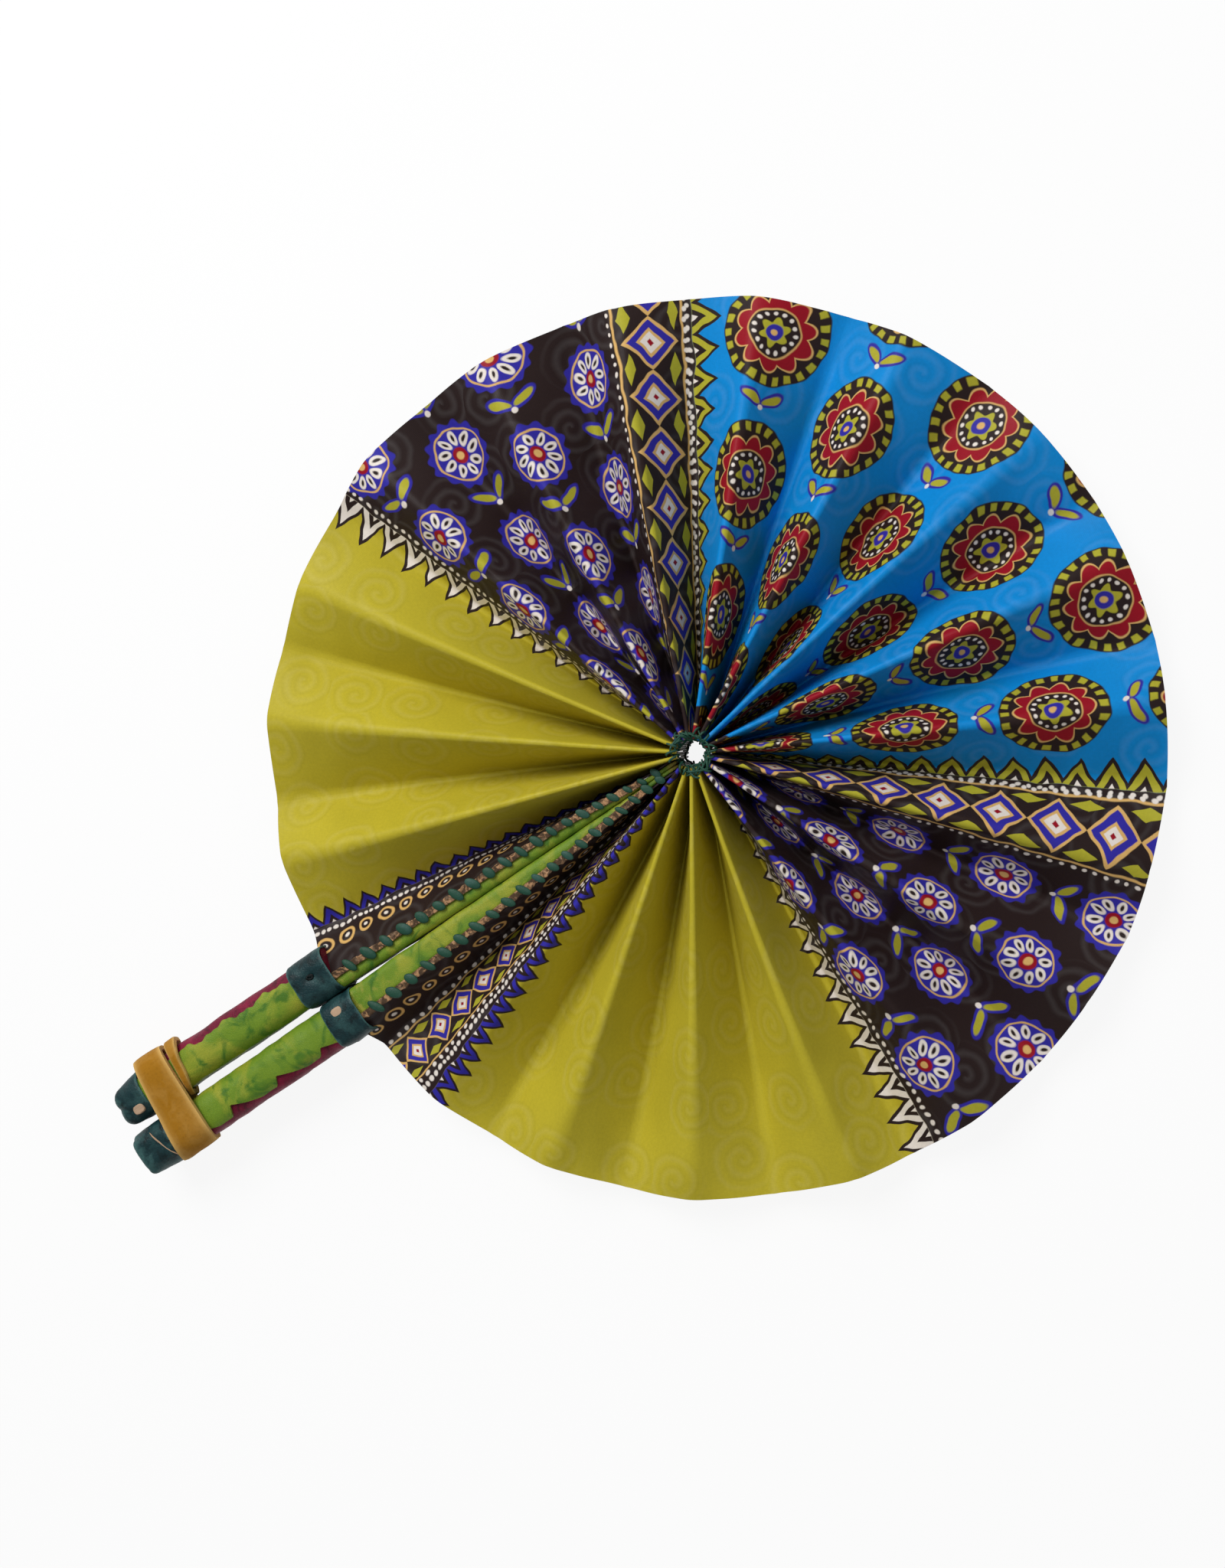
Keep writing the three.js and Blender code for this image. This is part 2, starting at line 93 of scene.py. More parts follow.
# Facts of the frame, in millimetres and degrees
MM = 0.001
LEAF_RADIUS = round((CAD_BOX[1].y - HUB.y) / MM, 2)
HANDLE_REACH = round((HUB.y - CAD_BOX[0].y) / MM, 2)
PLEAT_COUNT = sum(name.startswith("pleat_") for name in frame["bodies"])
END_SECTOR = 9.0
SPLAY = 0.25
SPINE_TIP = 6.4
SPINE_TAPER_END = 52.0
SPINE_TAPER = 5.4
SPINE_HALF = 8.0
SPINE_LEAST = 1.3
GRIP_START = LEAF_RADIUS + 1.8
CAP_LENGTH = 13.9
CAP_START = HANDLE_REACH - CAP_LENGTH
WRAP_END = CAP_START + 4.0
WRAP = (0.6, 15.8, 9.75, 6.0)
BAND = (0.1, 16.8, 10.75, 7.2)
COLLAR = (-0.5, 16.6, 10.75, 5.6)
BAND_WALL = 0.8
STRAP_OUTER = (-20.6, 18.6, 12.6, 8.5)
STRAP_END = CAP_START - 0.1
COLLAR_PEG = (4.6, LEAF_RADIUS + 1.6)
CAP_PEG = (4.4, CAP_START + 4.5)
COLLAR_KNOT = (9.2, LEAF_RADIUS + 3.2)
RIGHT = 1
LEFT = -1
SIDE_NAMES = {RIGHT: "right", LEFT: "left"}

# Where the two sticks differ, as the leather was cut and drawn on by hand
SPINE_FACE_AT_RIM = {RIGHT: 11.6, LEFT: 5.6}
COLLAR_SPAN = {
    RIGHT: (LEAF_RADIUS - 5.2, LEAF_RADIUS + 7.4),
    LEFT: (LEAF_RADIUS - 4.2, LEAF_RADIUS + 10.4),
}
LINING_START = {RIGHT: LEAF_RADIUS + 1.5, LEFT: LEAF_RADIUS - 3.6}
CAP_END = {RIGHT: HANDLE_REACH + 1.2, LEFT: HANDLE_REACH - 1.2}


def srgb(red, green, blue):
    """Linear colour of a screen colour that is given from 0 to 255."""
    shares = [value / 255 for value in (red, green, blue)]
    return tuple(s / 12.92 if s <= 0.04045 else ((s + 0.055) / 1.055) ** 2.4 for s in shares)


def colour(name, description, red, green, blue):
    return FloatVectorProperty(
        name=name,
        description=description,
        subtype="COLOR",
        size=3,
        min=0,
        max=1,
        default=srgb(red, green, blue),
    )


def scalar(name, description, default, **limits):
    return FloatProperty(name=name, description=description, default=default, **{"min": 0, **limits})


def length(name, description, default):
    return scalar(name, description, default, unit="LENGTH", precision=4)


def wattage(name, description, default):
    return scalar(name, description, default, unit="POWER")


def triple(name, description, default, kind="DIRECTION"):
    return FloatVectorProperty(name=name, description=description, default=default, subtype=kind)


class FanLeafSettings(bpy.types.PropertyGroup):
    """Sizes of the cloth leaf"""

    inner_radius: length("Inner Radius", "Distance from the hub to the gathered ends of the pleats", 0.0048)
    rim_depth: length("Rim Depth", "Height of the folds at the rim", 0.0075)
    thickness: length("Cloth Thickness", "Thickness of the waxed cotton", 0.0005)
    crease: length("Crease", "Length of the rounded crease at the rim", 0.0036)
    sway: scalar("Sway", "Unevenness of the fold lines at the rim", math.radians(0.9), subtype="ANGLE")
    lift: length("Lift", "Unevenness of the folds' height at the rim", 0.0010)
    ripple: length("Ripple", "Height of the slight waves in the cloth", 0.0005)
    seed: IntProperty(name="Seed", description="Seed of the leaf's unevenness", default=7)


class FanPrintSettings(bpy.types.PropertyGroup):
    """Inks of the printed cotton"""

    olive: colour("Olive", "Plain ground of the print", 190, 175, 48)
    sky: colour("Sky", "Blue ground of the print", 12, 138, 214)
    earth: colour("Earth", "Dark ground of the print", 44, 32, 31)
    royal: colour("Royal", "Leaves, suns and lozenges", 52, 46, 160)
    cream: colour("Cream", "Petals and dots", 236, 226, 216)
    scarlet: colour("Scarlet", "Rings of the rosettes", 152, 20, 36)
    gold: colour("Gold", "Lines and bands", 222, 178, 108)
    lime: colour("Lime", "Teeth, dashes and leaf centres", 178, 172, 52)


class FanLeatherSettings(bpy.types.PropertyGroup):
    """Colours and sizes of the leather, the suede and the thread"""

    green: colour("Green", "Dyed leather of the sticks", 118, 148, 38)
    green_light: colour("Light Green", "Pale clouds in the green dye", 164, 168, 52)
    green_dark: colour("Dark Green", "Deep clouds in the green dye", 64, 112, 30)
    teal: colour("Teal", "Leather of the collars and caps", 18, 52, 56)
    teal_worn: colour("Worn Teal", "Rubbed edges of the teal leather", 66, 106, 104)
    crimson: colour("Crimson", "Lining of the grips", 118, 14, 48)
    suede: colour("Suede", "Nap of the strap", 166, 114, 25)
    suede_edge: colour("Suede Edge", "Cut edges of the strap", 222, 180, 106)
    tan: colour("Tan", "Welt under the stitches", 204, 156, 112)
    wood: colour("Wood", "Pegs", 196, 164, 134)
    thread: colour("Thread", "Stitches and gathering thread", 18, 76, 56)
    stitch_pitch: length("Stitch Pitch", "Distance from stitch to stitch at the rim", 0.0084)
    stitch_length: length("Stitch Length", "Length of one stitch at the rim", 0.0065)
    stitch_width: length("Stitch Width", "Width of one stitch at the rim", 0.0037)
    stitch_height: length("Stitch Height", "Thickness of one stitch at the rim", 0.0016)
    scallop_pitch: length("Scallop Pitch", "Length of one scallop on the grip's edge", 0.0190)
    scallop_depth: length("Scallop Depth", "Depth of the scallops on the grip's edge", 0.0036)


class FanStageSettings(bpy.types.PropertyGroup):
    """Light, floor and camera"""

    floor: colour("Floor", "Colour of the floor", 248, 248, 248)
    key: wattage("Key Light", "Power of the main lamp", 13.0)
    fill: wattage("Fill Light", "Power of the second lamp", 1.6)
    ambient: scalar("Ambient", "Strength of the light from all round", 0.278, max=4.0)
    camera_place: triple(
        "Camera Place", "Where the camera stands, from the hub", (0.03133, 0.07031, 0.55549), "TRANSLATION"
    )
    camera_view: triple("Camera View", "Direction that the camera looks in", (-0.0677, -0.1766, -0.982))
    camera_up: triple("Camera Up", "Direction that is up in the picture", (-0.8316, 0.5537, -0.0422))
    lens: scalar("Lens", "Focal length in millimetres", 38.632, min=1)


# Meshes

RIPPLE_WAVES = 9
TUBE_SIDES = 7


def unit(vectors):
    return vectors / np.linalg.norm(vectors, axis=-1, keepdims=True)


def ripple(points, wavelength, seed):
    """Smooth seeded waves of about one unit, the same at one place on every piece."""
    draw = np.random.default_rng(seed)
    total = np.zeros(points.shape[:-1])
    for _ in range(RIPPLE_WAVES):
        direction = draw.normal(size=3)
        direction *= 2 * np.pi * draw.uniform(0.7, 1.4) / (wavelength * np.linalg.norm(direction))
        total += np.sin(points @ direction + draw.uniform(0, 2 * np.pi))
    return total / math.sqrt(RIPPLE_WAVES)


def add_object(name, data):
    """A new object in the scene."""
    made = bpy.data.objects.new(name, data)
    bpy.context.scene.collection.objects.link(made)
    return made


def write_mark(mesh, name, values):
    """Writes a number at each point of a mesh."""
    layer = mesh.attributes.new(name, "FLOAT", "POINT")
    layer.data.foreach_set("value", np.asarray(values, np.float32))


def outward(points, faces):
    """The faces in the order that points them out of the closed body."""
    volume = 0.0
    for face in faces:
        corners = points[list(face)]
        turns = np.cross(corners[1:-1], corners[2:])
        volume += float((turns @ corners[0]).sum())
    return faces if volume > 0 else [tuple(reversed(face)) for face in faces]


def add_piece(name, points, faces, material, sharp=50, strip=None, marks=None):
    """A mesh object over closed faces, with a strip map or marks that its material reads."""
    points = np.asarray(points, float)
    mesh = bpy.data.meshes.new(name)
    mesh.from_pydata((points * MM + np.array(HUB)).tolist(), [], outward(points, faces))
    mesh.polygons.foreach_set("use_smooth", np.ones(len(mesh.polygons), bool))
    mesh.set_sharp_from_angle(angle=math.radians(sharp))
    if strip is not None:
        layer = mesh.uv_layers.new(name="strip")
        corners = np.zeros(len(mesh.loops), np.int32)
        mesh.loops.foreach_get("vertex_index", corners)
        layer.uv.foreach_set("vector", np.asarray(strip, np.float32)[corners].ravel())
    for mark, values in (marks or {}).items():
        write_mark(mesh, mark, values)
    mesh.materials.append(material)
    return add_object(name, mesh)


def settle(piece, body, slot, *replaced):
    """Puts a finished piece on its body and in place of its CAD nodes. Its slot is not used."""
    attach(piece, body)
    if replaced:
        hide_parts(*replaced)
    return piece


def loft(rings, looped=False):
    """Points and faces of a closed body over rings of points."""
    rings = np.asarray(rings, float)
    count, size = rings.shape[:2]
    faces = []
    for ring in range(count if looped else count - 1):
        a, b = ring * size, (ring + 1) % count * size
        for i in range(size):
            j = (i + 1) % size
            faces.append((a + i, a + j, b + j, b + i))
    if not looped:
        last = (count - 1) * size
        faces.append(tuple(reversed(range(size))))
        faces.append(tuple(range(last, last + size)))
    return rings.reshape(-1, 3), faces


def tube(path, radius):
    """A round thread along a path."""
    path = np.asarray(path, float)
    along = unit(np.gradient(path, axis=0))
    side = unit(np.cross(along, (0.13, 0.21, 0.97)))
    up = np.cross(side, along)
    angles = 2 * np.pi * np.arange(TUBE_SIDES) / TUBE_SIDES
    spread = side[:, None] * np.cos(angles)[:, None] + up[:, None] * np.sin(angles)[:, None]
    return loft(path[:, None] + spread * np.reshape(radius, (-1, 1, 1)))


def joined(parts):
    """Several bodies of points and faces as one."""
    points, faces, start = [], [], 0
    for part_points, part_faces in parts:
        points.append(part_points)
        faces += [tuple(start + i for i in face) for face in outward(part_points, part_faces)]
        start += len(part_points)
    return np.vstack(points), faces


def grid_shell(upper, lower):
    """Points and faces of the closed body between two grids of points."""
    rows, columns = upper.shape[:2]
    under = rows * columns
    faces = []
    for r in range(rows - 1):
        for c in range(columns - 1):
            a = r * columns + c
            b = a + columns
            faces.append((a, b, b + 1, a + 1))
            faces.append((under + a, under + a + 1, under + b + 1, under + b))
    first = list(range(columns))
    far = [r * columns + columns - 1 for r in range(1, rows)]
    last = list(range(rows * columns - 2, (rows - 1) * columns - 1, -1))
    near = [r * columns for r in range(rows - 2, 0, -1)]
    border = first + far + last + near
    for a, b in zip(border, border[1:] + border[:1]):
        faces.append((b, a, under + a, under + b))
    return np.vstack([upper.reshape(-1, 3), lower.reshape(-1, 3)]), faces


def smooth_path(knots, steps):
    """A smooth curve through knots."""
    knots = np.asarray(knots, float)
    padded = np.vstack([2 * knots[0] - knots[1], knots, 2 * knots[-1] - knots[-2]])
    points = []
    for i in range(len(knots) - 1):
        a, b, c, d = padded[i : i + 4]
        t = np.linspace(0, 1, steps, endpoint=False)[:, None]
        bend = (2 * a - 5 * b + 4 * c - d) * t**2 + (3 * b - a - 3 * c + d) * t**3
        points.append(0.5 * (2 * b + (c - a) * t + bend))
    return np.vstack([*points, knots[-1:]])


# Leaf

# Trim of the strip's edge to a round rim, in millimetres, and its swell between the folds as a share
RIM_VALLEY_OUT = 0.8
RIM_RIDGE_BACK = 0.5
RIM_CHANCE = 0.35
RIM_SWELL = 0.0028


def polar(reach, azimuth, height):
    """Points around the hub."""
    return np.stack([reach * np.cos(azimuth), reach * np.sin(azimuth), height], 1)


class FoldLines:
    """The fold lines of the leaf: valleys at even numbers, ridges between them."""

    def __init__(self, leaf):
        draw = np.random.default_rng(leaf.seed)
        self.count = 2 * PLEAT_COUNT + 1
        self.step = math.radians((360 - 2 * END_SECTOR) / (2 * PLEAT_COUNT))
        self.inner = leaf.inner_radius / MM
        self.width = math.hypot(LEAF_RADIUS * math.sin(self.step), leaf.rim_depth / MM)
        self.azimuth = math.radians(END_SECTOR - 90) + self.step * np.arange(self.count)
        free = np.ones(self.count)
        free[[0, -1]] = 0
        self.sway = draw.normal(0, leaf.sway, self.count) * free
        self.lift = draw.normal(0, leaf.lift / MM, self.count)
        self.half_cloth = leaf.thickness / MM / 2
        shift = np.where(np.arange(self.count) % 2, -RIM_RIDGE_BACK, RIM_VALLEY_OUT)
        self.rim = (draw.normal(0, RIM_CHANCE, self.count) + shift) * free

    def ridge(self, pleat):
        """Azimuth of a pleat's ridge."""
        return self.azimuth[2 * pleat + 1]

    def at(self, number, distance):
        """Points of a fold line at distances from the hub."""
        out = distance / LEAF_RADIUS
        azimuth = self.azimuth[number] + self.sway[number] * out**1.5
        reach = distance + self.rim[number] * out**6
        depth = np.sqrt(self.width**2 - (distance * math.sin(self.step)) ** 2)
        rise = (depth / 2 - self.half_cloth) * (1 if number % 2 else -1)
        return polar(reach, azimuth, rise + self.lift[number] * out**4)


CREASE_STEPS = 5
PANEL_STEPS = 9
LEAF_ROWS = 56
HUB_CREASE = 0.55
BROAD_WAVE = 46
FINE_WAVE = 15
FINE_WAVE_SHARE = 0.35
END_PANEL_WIDTH = 19.0
END_PANEL_STEPS = 14
END_PANEL_SOFTNESS = 0.12
SEAM_OUT = 0.5
SEAM_RISE = 0.15

# How far off the hub the pleats beside a stick fold to, and the share of the leaf that this takes in
FOLD_OFF = {RIGHT: (1.2, 0.12), LEFT: (3.3, 0.36)}


def pleat_name(number):
    return f"pleat_{number + 1:02d}"


def leaf_distances(start):
    """Distances from the hub of the leaf's rows, a little closer together at both ends."""
    even = np.linspace(0, 1, LEAF_ROWS)
    return start + (LEAF_RADIUS - start) * (0.6 * even + 0.2 * (1 - np.cos(np.pi * even)))


def fold_profile(width, span, crease):
    """Arc lengths, shares across and shares up over a panel with a round crease at each side."""
    low = np.full_like(span, 1e-4)
    high = np.full_like(span, 1.9)
    for _ in range(48):
        angle = (low + high) / 2
        reach = 2 * crease * np.sin(angle) / angle + (width - 2 * crease) * np.cos(angle)
        low = np.where(reach > span, angle, low)
        high = np.where(reach > span, high, angle)
    angle, bend = angle[:, None], crease[:, None]
    turn = np.linspace(0, 1, CREASE_STEPS + 1)
    flat = np.linspace(0, 1, PANEL_STEPS + 1)[1:-1]
    level = width - 2 * bend
    arc = np.hstack([bend * turn, bend + level * flat, width - bend * turn[::-1]])
    across = bend / angle * np.sin(angle * turn)
    up = bend / angle * (1 - np.cos(angle * turn))
    shares = []
    for edge, slope in ((across, np.cos(angle)), (up, np.sin(angle))):
        last = edge[:, -1:]
        whole = 2 * last + level * slope
        shares.append(np.hstack([edge, last + level * flat * slope, whole - edge[:, ::-1]]) / whole)
    return arc, *shares


def bridge(start, end, across, up):
    """Points between two lines, by their shares across and up."""
    shares = np.stack([across, across, up], -1)
    return start[:, None] + (end - start)[:, None] * shares


def cloth_shell(middle, leaf, level_sides=(True, True)):
    """Points and faces of cloth of even thickness over a grid. At a level side the cloth lies flat."""
    along = np.gradient(middle, axis=0)
    over = np.gradient(middle, axis=1)
    for column, level in zip((0, -1), level_sides):
        if level:
            over[:, column] = np.cross((0, 0, 1), middle[:, column] * (1, 1, 0))
    normal = unit(np.cross(along, over))
    plan = middle * (1, 1, 0)
    out = np.clip(np.linalg.norm(middle[..., :2], axis=2) / LEAF_RADIUS, 0, 1)
    wave = ripple(plan, BROAD_WAVE, leaf.seed)
    wave += FINE_WAVE_SHARE * ripple(plan, FINE_WAVE, leaf.seed + 1)
    middle = middle.copy()
    middle[..., 2] += wave * out * leaf.ripple / MM
    half = normal * leaf.thickness / MM / 2
    return grid_shell(middle + half, middle - half)


def grid_area(grid):
    """Area of the surface over a grid of points."""
    along, over = np.diff(grid, axis=0), np.diff(grid, axis=1)
    return float(np.linalg.norm(np.cross(along[:, :-1], over[:-1]), axis=2).sum())


def strip_map(u, distance):
    """Places on the strip of the points of both faces of the cloth."""
    strip = np.stack([u, np.broadcast_to(distance[:, None], u.shape)], -1).reshape(-1, 2)
    return np.vstack([strip, strip])


def press_pleat(piece, number, lines):
    """Gives a piece of a pleat its own mesh. Where it would be pressed to as the fan folds, onto the hub or
    a little off it beside the sticks, is worked out but not used.
    """
    ridge = lines.ridge(number)
    tangent = (-math.sin(ridge), math.cos(ridge), 0)
    place = (number + 0.5) / PLEAT_COUNT
    off = 0.0
    for side, from_stick in ((RIGHT, place), (LEFT, 1 - place)):
        most, reach = FOLD_OFF[side]
        off += side * most * max(0.0, 1 - from_stick / reach)
    anchor = tuple(HUB + Vector(tangent) * off * MM)
    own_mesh(piece)


def pleat_piece(number, lines, leaf, cotton):
    """One pleat between two valleys, as its own sheet of the strip."""
    name = pleat_name(number)
    distance = leaf_distances(lines.inner)
    crease = HUB_CREASE + (leaf.crease / MM - HUB_CREASE) * (distance / LEAF_RADIUS) ** 1.6
    valley, ridge, next_valley = (lines.at(2 * number + i, distance) for i in range(3))
    grids, arcs = [], []
    for near, far, skip in ((valley, ridge, 0), (ridge, next_valley, 1)):
        span = np.linalg.norm((far - near)[:, :2], axis=1)
        arc, across, up = fold_profile(lines.width, np.minimum(span, 0.995 * lines.width), crease)
        panel = bridge(near, far, across, up)
        swell = 4 * across * (1 - across) * (distance[:, None] / LEAF_RADIUS) ** 6
        panel[..., :2] *= 1 + RIM_SWELL * swell[..., None]
        grids.append(panel[:, skip:])
        arcs.append(arc[:, skip:] + skip * lines.width)
    points, faces = cloth_shell(np.hstack(grids), leaf)
    u = END_PANEL_WIDTH + 2 * lines.width * number + np.hstack(arcs)
    piece = add_piece(f"{name}_cloth", points, faces, cotton, strip=strip_map(u, distance))
    settle(piece, name, "printed_cotton", name)
    press_pleat(piece, number, lines)


def spine_face(distance, side):
    """Outer face of a stick's spine, which the leaf's end is sewn to."""
    taper = math.tan(math.radians(SPINE_TAPER))
    wide = SPINE_TAPER_END * taper
    beyond = (distance - SPINE_TAPER_END) / (LEAF_RADIUS - SPINE_TAPER_END)
    widened = wide + (SPINE_FACE_AT_RIM[side] - wide) * beyond
    return np.where(distance <= SPINE_TAPER_END, distance * taper, widened)


def on_stick(points, side):
    """Points of the right stick, turned by its splay, on the stick of that side."""
    turn = Matrix.Rotation(math.radians(SPLAY), 3, "Z")
    return np.asarray(points, float) @ np.array(turn).T * (side, 1, 1)


def end_panel_piece(side, lines, leaf, cotton):
    """The leaf's last panel, from the seam on a stick down to the first valley."""
    name = SIDE_NAMES[side]
    distance = leaf_distances(SPINE_TIP + 0.5)
    face = np.maximum(spine_face(distance, side), SPINE_LEAST)
    seam = np.stack([face + SEAM_OUT, -distance, np.full_like(distance, SPINE_HALF + SEAM_RISE)], 1)
    valley = lines.at(0 if side == RIGHT else lines.count - 1, distance)
    to_valley = np.linspace(1, 0, END_PANEL_STEPS + 1)[None] * np.ones((LEAF_ROWS, 1))
    soft = END_PANEL_SOFTNESS
    drop = (np.hypot(to_valley, soft) - soft) / (math.hypot(1, soft) - soft)
    grid = bridge(valley, on_stick(seam, side), to_valley, drop)
    u = END_PANEL_WIDTH * (1 - to_valley)
    if side == LEFT:
        grid = grid[:, ::-1]
        u = 2 * END_PANEL_WIDTH + 2 * PLEAT_COUNT * lines.width - u[:, ::-1]
    points, faces = cloth_shell(grid, leaf, (side == LEFT, side == RIGHT))
    piece = add_piece(f"{name}_end_cloth", points, faces, cotton, strip=strip_map(u, distance))
    settle(piece, f"{name}_stick", "printed_cotton", f"{name}_end_panel")
    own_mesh(piece)
    long = LEAF_RADIUS - distance[0]
    size = (grid_area(grid) / long * MM, long * MM)


# Numbers and inks in node trees


def feed(tree, value, socket):
    """Links or writes a value to a socket. A colour may leave out its alpha."""
    if isinstance(value, Field):
        value = value.socket
    if isinstance(value, bpy.types.NodeSocket):
        tree.links.new(value, socket)
    elif socket.type == "RGBA":
        socket.default_value = (*value[:3], 1.0)
    else:
        socket.default_value = value


def add_node(tree, kind, inputs=None, **settings):
    """A new node with its settings, and its inputs linked or written."""
    node = tree.nodes.new(kind)
    for name, value in settings.items():
        setattr(node, name, value)
    for name, value in (inputs or {}).items():
        feed(tree, value, node.inputs[name])
    return node


class Field:
    """A number that varies over a surface, held as a socket of a node tree."""

    def __init__(self, tree, socket):
        self.tree = tree
        self.socket = socket

    def reckon(self, operation, *others, clamp=False):
        inputs = dict(enumerate((self, *others)))
        node = add_node(self.tree, "ShaderNodeMath", inputs, operation=operation, use_clamp=clamp)
        return Field(self.tree, node.outputs[0])

    def __add__(self, other):
        return self.reckon("ADD", other)

    def __sub__(self, other):
        return self.reckon("SUBTRACT", other)

    def __mul__(self, other):
        return self.reckon("MULTIPLY", other)

    def __truediv__(self, other):
        return self.reckon("DIVIDE", other)

    def __neg__(self):
        return self * -1.0

    def but(self, mask):
        """This mask where another one isn't."""
        return self * mask.reckon("MULTIPLY_ADD", -1.0, 1.0)

    def either(self, other):
        return self.reckon("MAXIMUM", other)

    def size(self):
        return self.reckon("ABSOLUTE")

    def wave(self, turns=1.0):
        return (self * turns).reckon("COSINE")

    def below(self, edge, blur=0.2):
        """One where the number is under an edge, with a soft rim."""
        return (self - edge).reckon("MULTIPLY_ADD", -0.5 / blur, 0.5, clamp=True)

    def above(self, edge, slope):
        """The number past an edge, by a slope, up to one."""
        return (self - edge).reckon("MULTIPLY", slope, clamp=True)

    def near(self, place, half, blur=0.2):
        """One in a line of a half width around a place."""
        return (self - place).size().below(half, blur)

    def repeat(self, pitch, shift=0.0):
        """The number within its repeat, from minus half the pitch to plus half."""
        return (((self + shift) / pitch).reckon("FRACT") - 0.5) * pitch


def radius_of(x, y):
    return (x * x + y * y).reckon("SQRT")


def angle_of(x, y):
    return y.reckon("ARCTAN2", x)


def ellipse(x, y, half_x, half_y, blur=0.2):
    return radius_of(x / half_x, y / half_y).below(1.0, blur / min(half_x, half_y))


class Painting:
    """Inks laid over each other in a node tree."""

    def __init__(self, tree, ground):
        self.tree = tree
        self.ground = ground

    def lay(self, mask, ink, blend="MIX"):
        inputs = {0: mask, 6: self.ground, 7: ink}
        node = add_node(self.tree, "ShaderNodeMix", inputs, data_type="RGBA", blend_type=blend)
        self.ground = node.outputs[2]


def new_group(name, inputs, outputs, kind="Shader"):
    """A node group with named sockets, and its input and output sockets."""
    tree = bpy.data.node_groups.new(name, f"{kind}NodeTree")
    for in_out, sockets in (("INPUT", inputs), ("OUTPUT", outputs)):
        for label, socket in sockets.items():
            tree.interface.new_socket(label, in_out=in_out, socket_type=f"NodeSocket{socket}")
    return tree, tree.nodes.new("NodeGroupInput").outputs, tree.nodes.new("NodeGroupOutput").inputs


def noise(tree, place, scale, detail, distortion=0.0, dimensions="3D"):
    """Cloudy noise from zero to one."""
    inputs = {"Vector": place, "Scale": scale, "Detail": detail, "Distortion": distortion}
    node = add_node(tree, "ShaderNodeTexNoise", inputs, noise_dimensions=dimensions)
    return Field(tree, node.outputs[0])


def split(tree, place):
    """The first two numbers of a place."""
    node = add_node(tree, "ShaderNodeSeparateXYZ", {0: place})
    return Field(tree, node.outputs[0]), Field(tree, node.outputs[1])


def vector_math(tree, operation, *values):
    node = add_node(tree, "ShaderNodeVectorMath", dict(enumerate(values)), operation=operation)
    return node.outputs[0]


def scattered(tree, place, cell, randomness):
    """Place within the nearest of scattered cells."""
    inputs = {"Vector": place, "Scale": 1 / cell, "Randomness": randomness}
    cells = add_node(tree, "ShaderNodeTexVoronoi", inputs, voronoi_dimensions="2D")
    return split(tree, vector_math(tree, "SUBTRACT", place, cells.outputs["Position"]))


# Stripes of the print from the right stick to the left: where each begins along the strip, and its ground
PRINT_STRIPES = {
    "right_border": (0.0, "earth"),
    "right_plain": (44.0, "olive"),
    "right_field": (236.0, "earth"),
    "right_chain": (348.0, "earth"),
    "sky": (380.0, "sky"),
    "left_chain": (640.0, "earth"),
    "left_field": (672.0, "earth"),
    "left_plain": (788.0, "olive"),
    "left_border": (951.0, "earth"),
}
BORDER_CHAIN = (20.0, 40.0)
BORDER_RINGS = (10.0, 959.0)
SKY_MARGIN = 11
# Reach from the hub of painted shade: the dark earth ink laid over the cloth's gathered ends, where the deep
# folds lie in shade
HUB_PAINTED_SHADE = 6.4
INKS = ("olive", "sky", "earth", "royal", "cream", "scarlet", "gold", "lime")


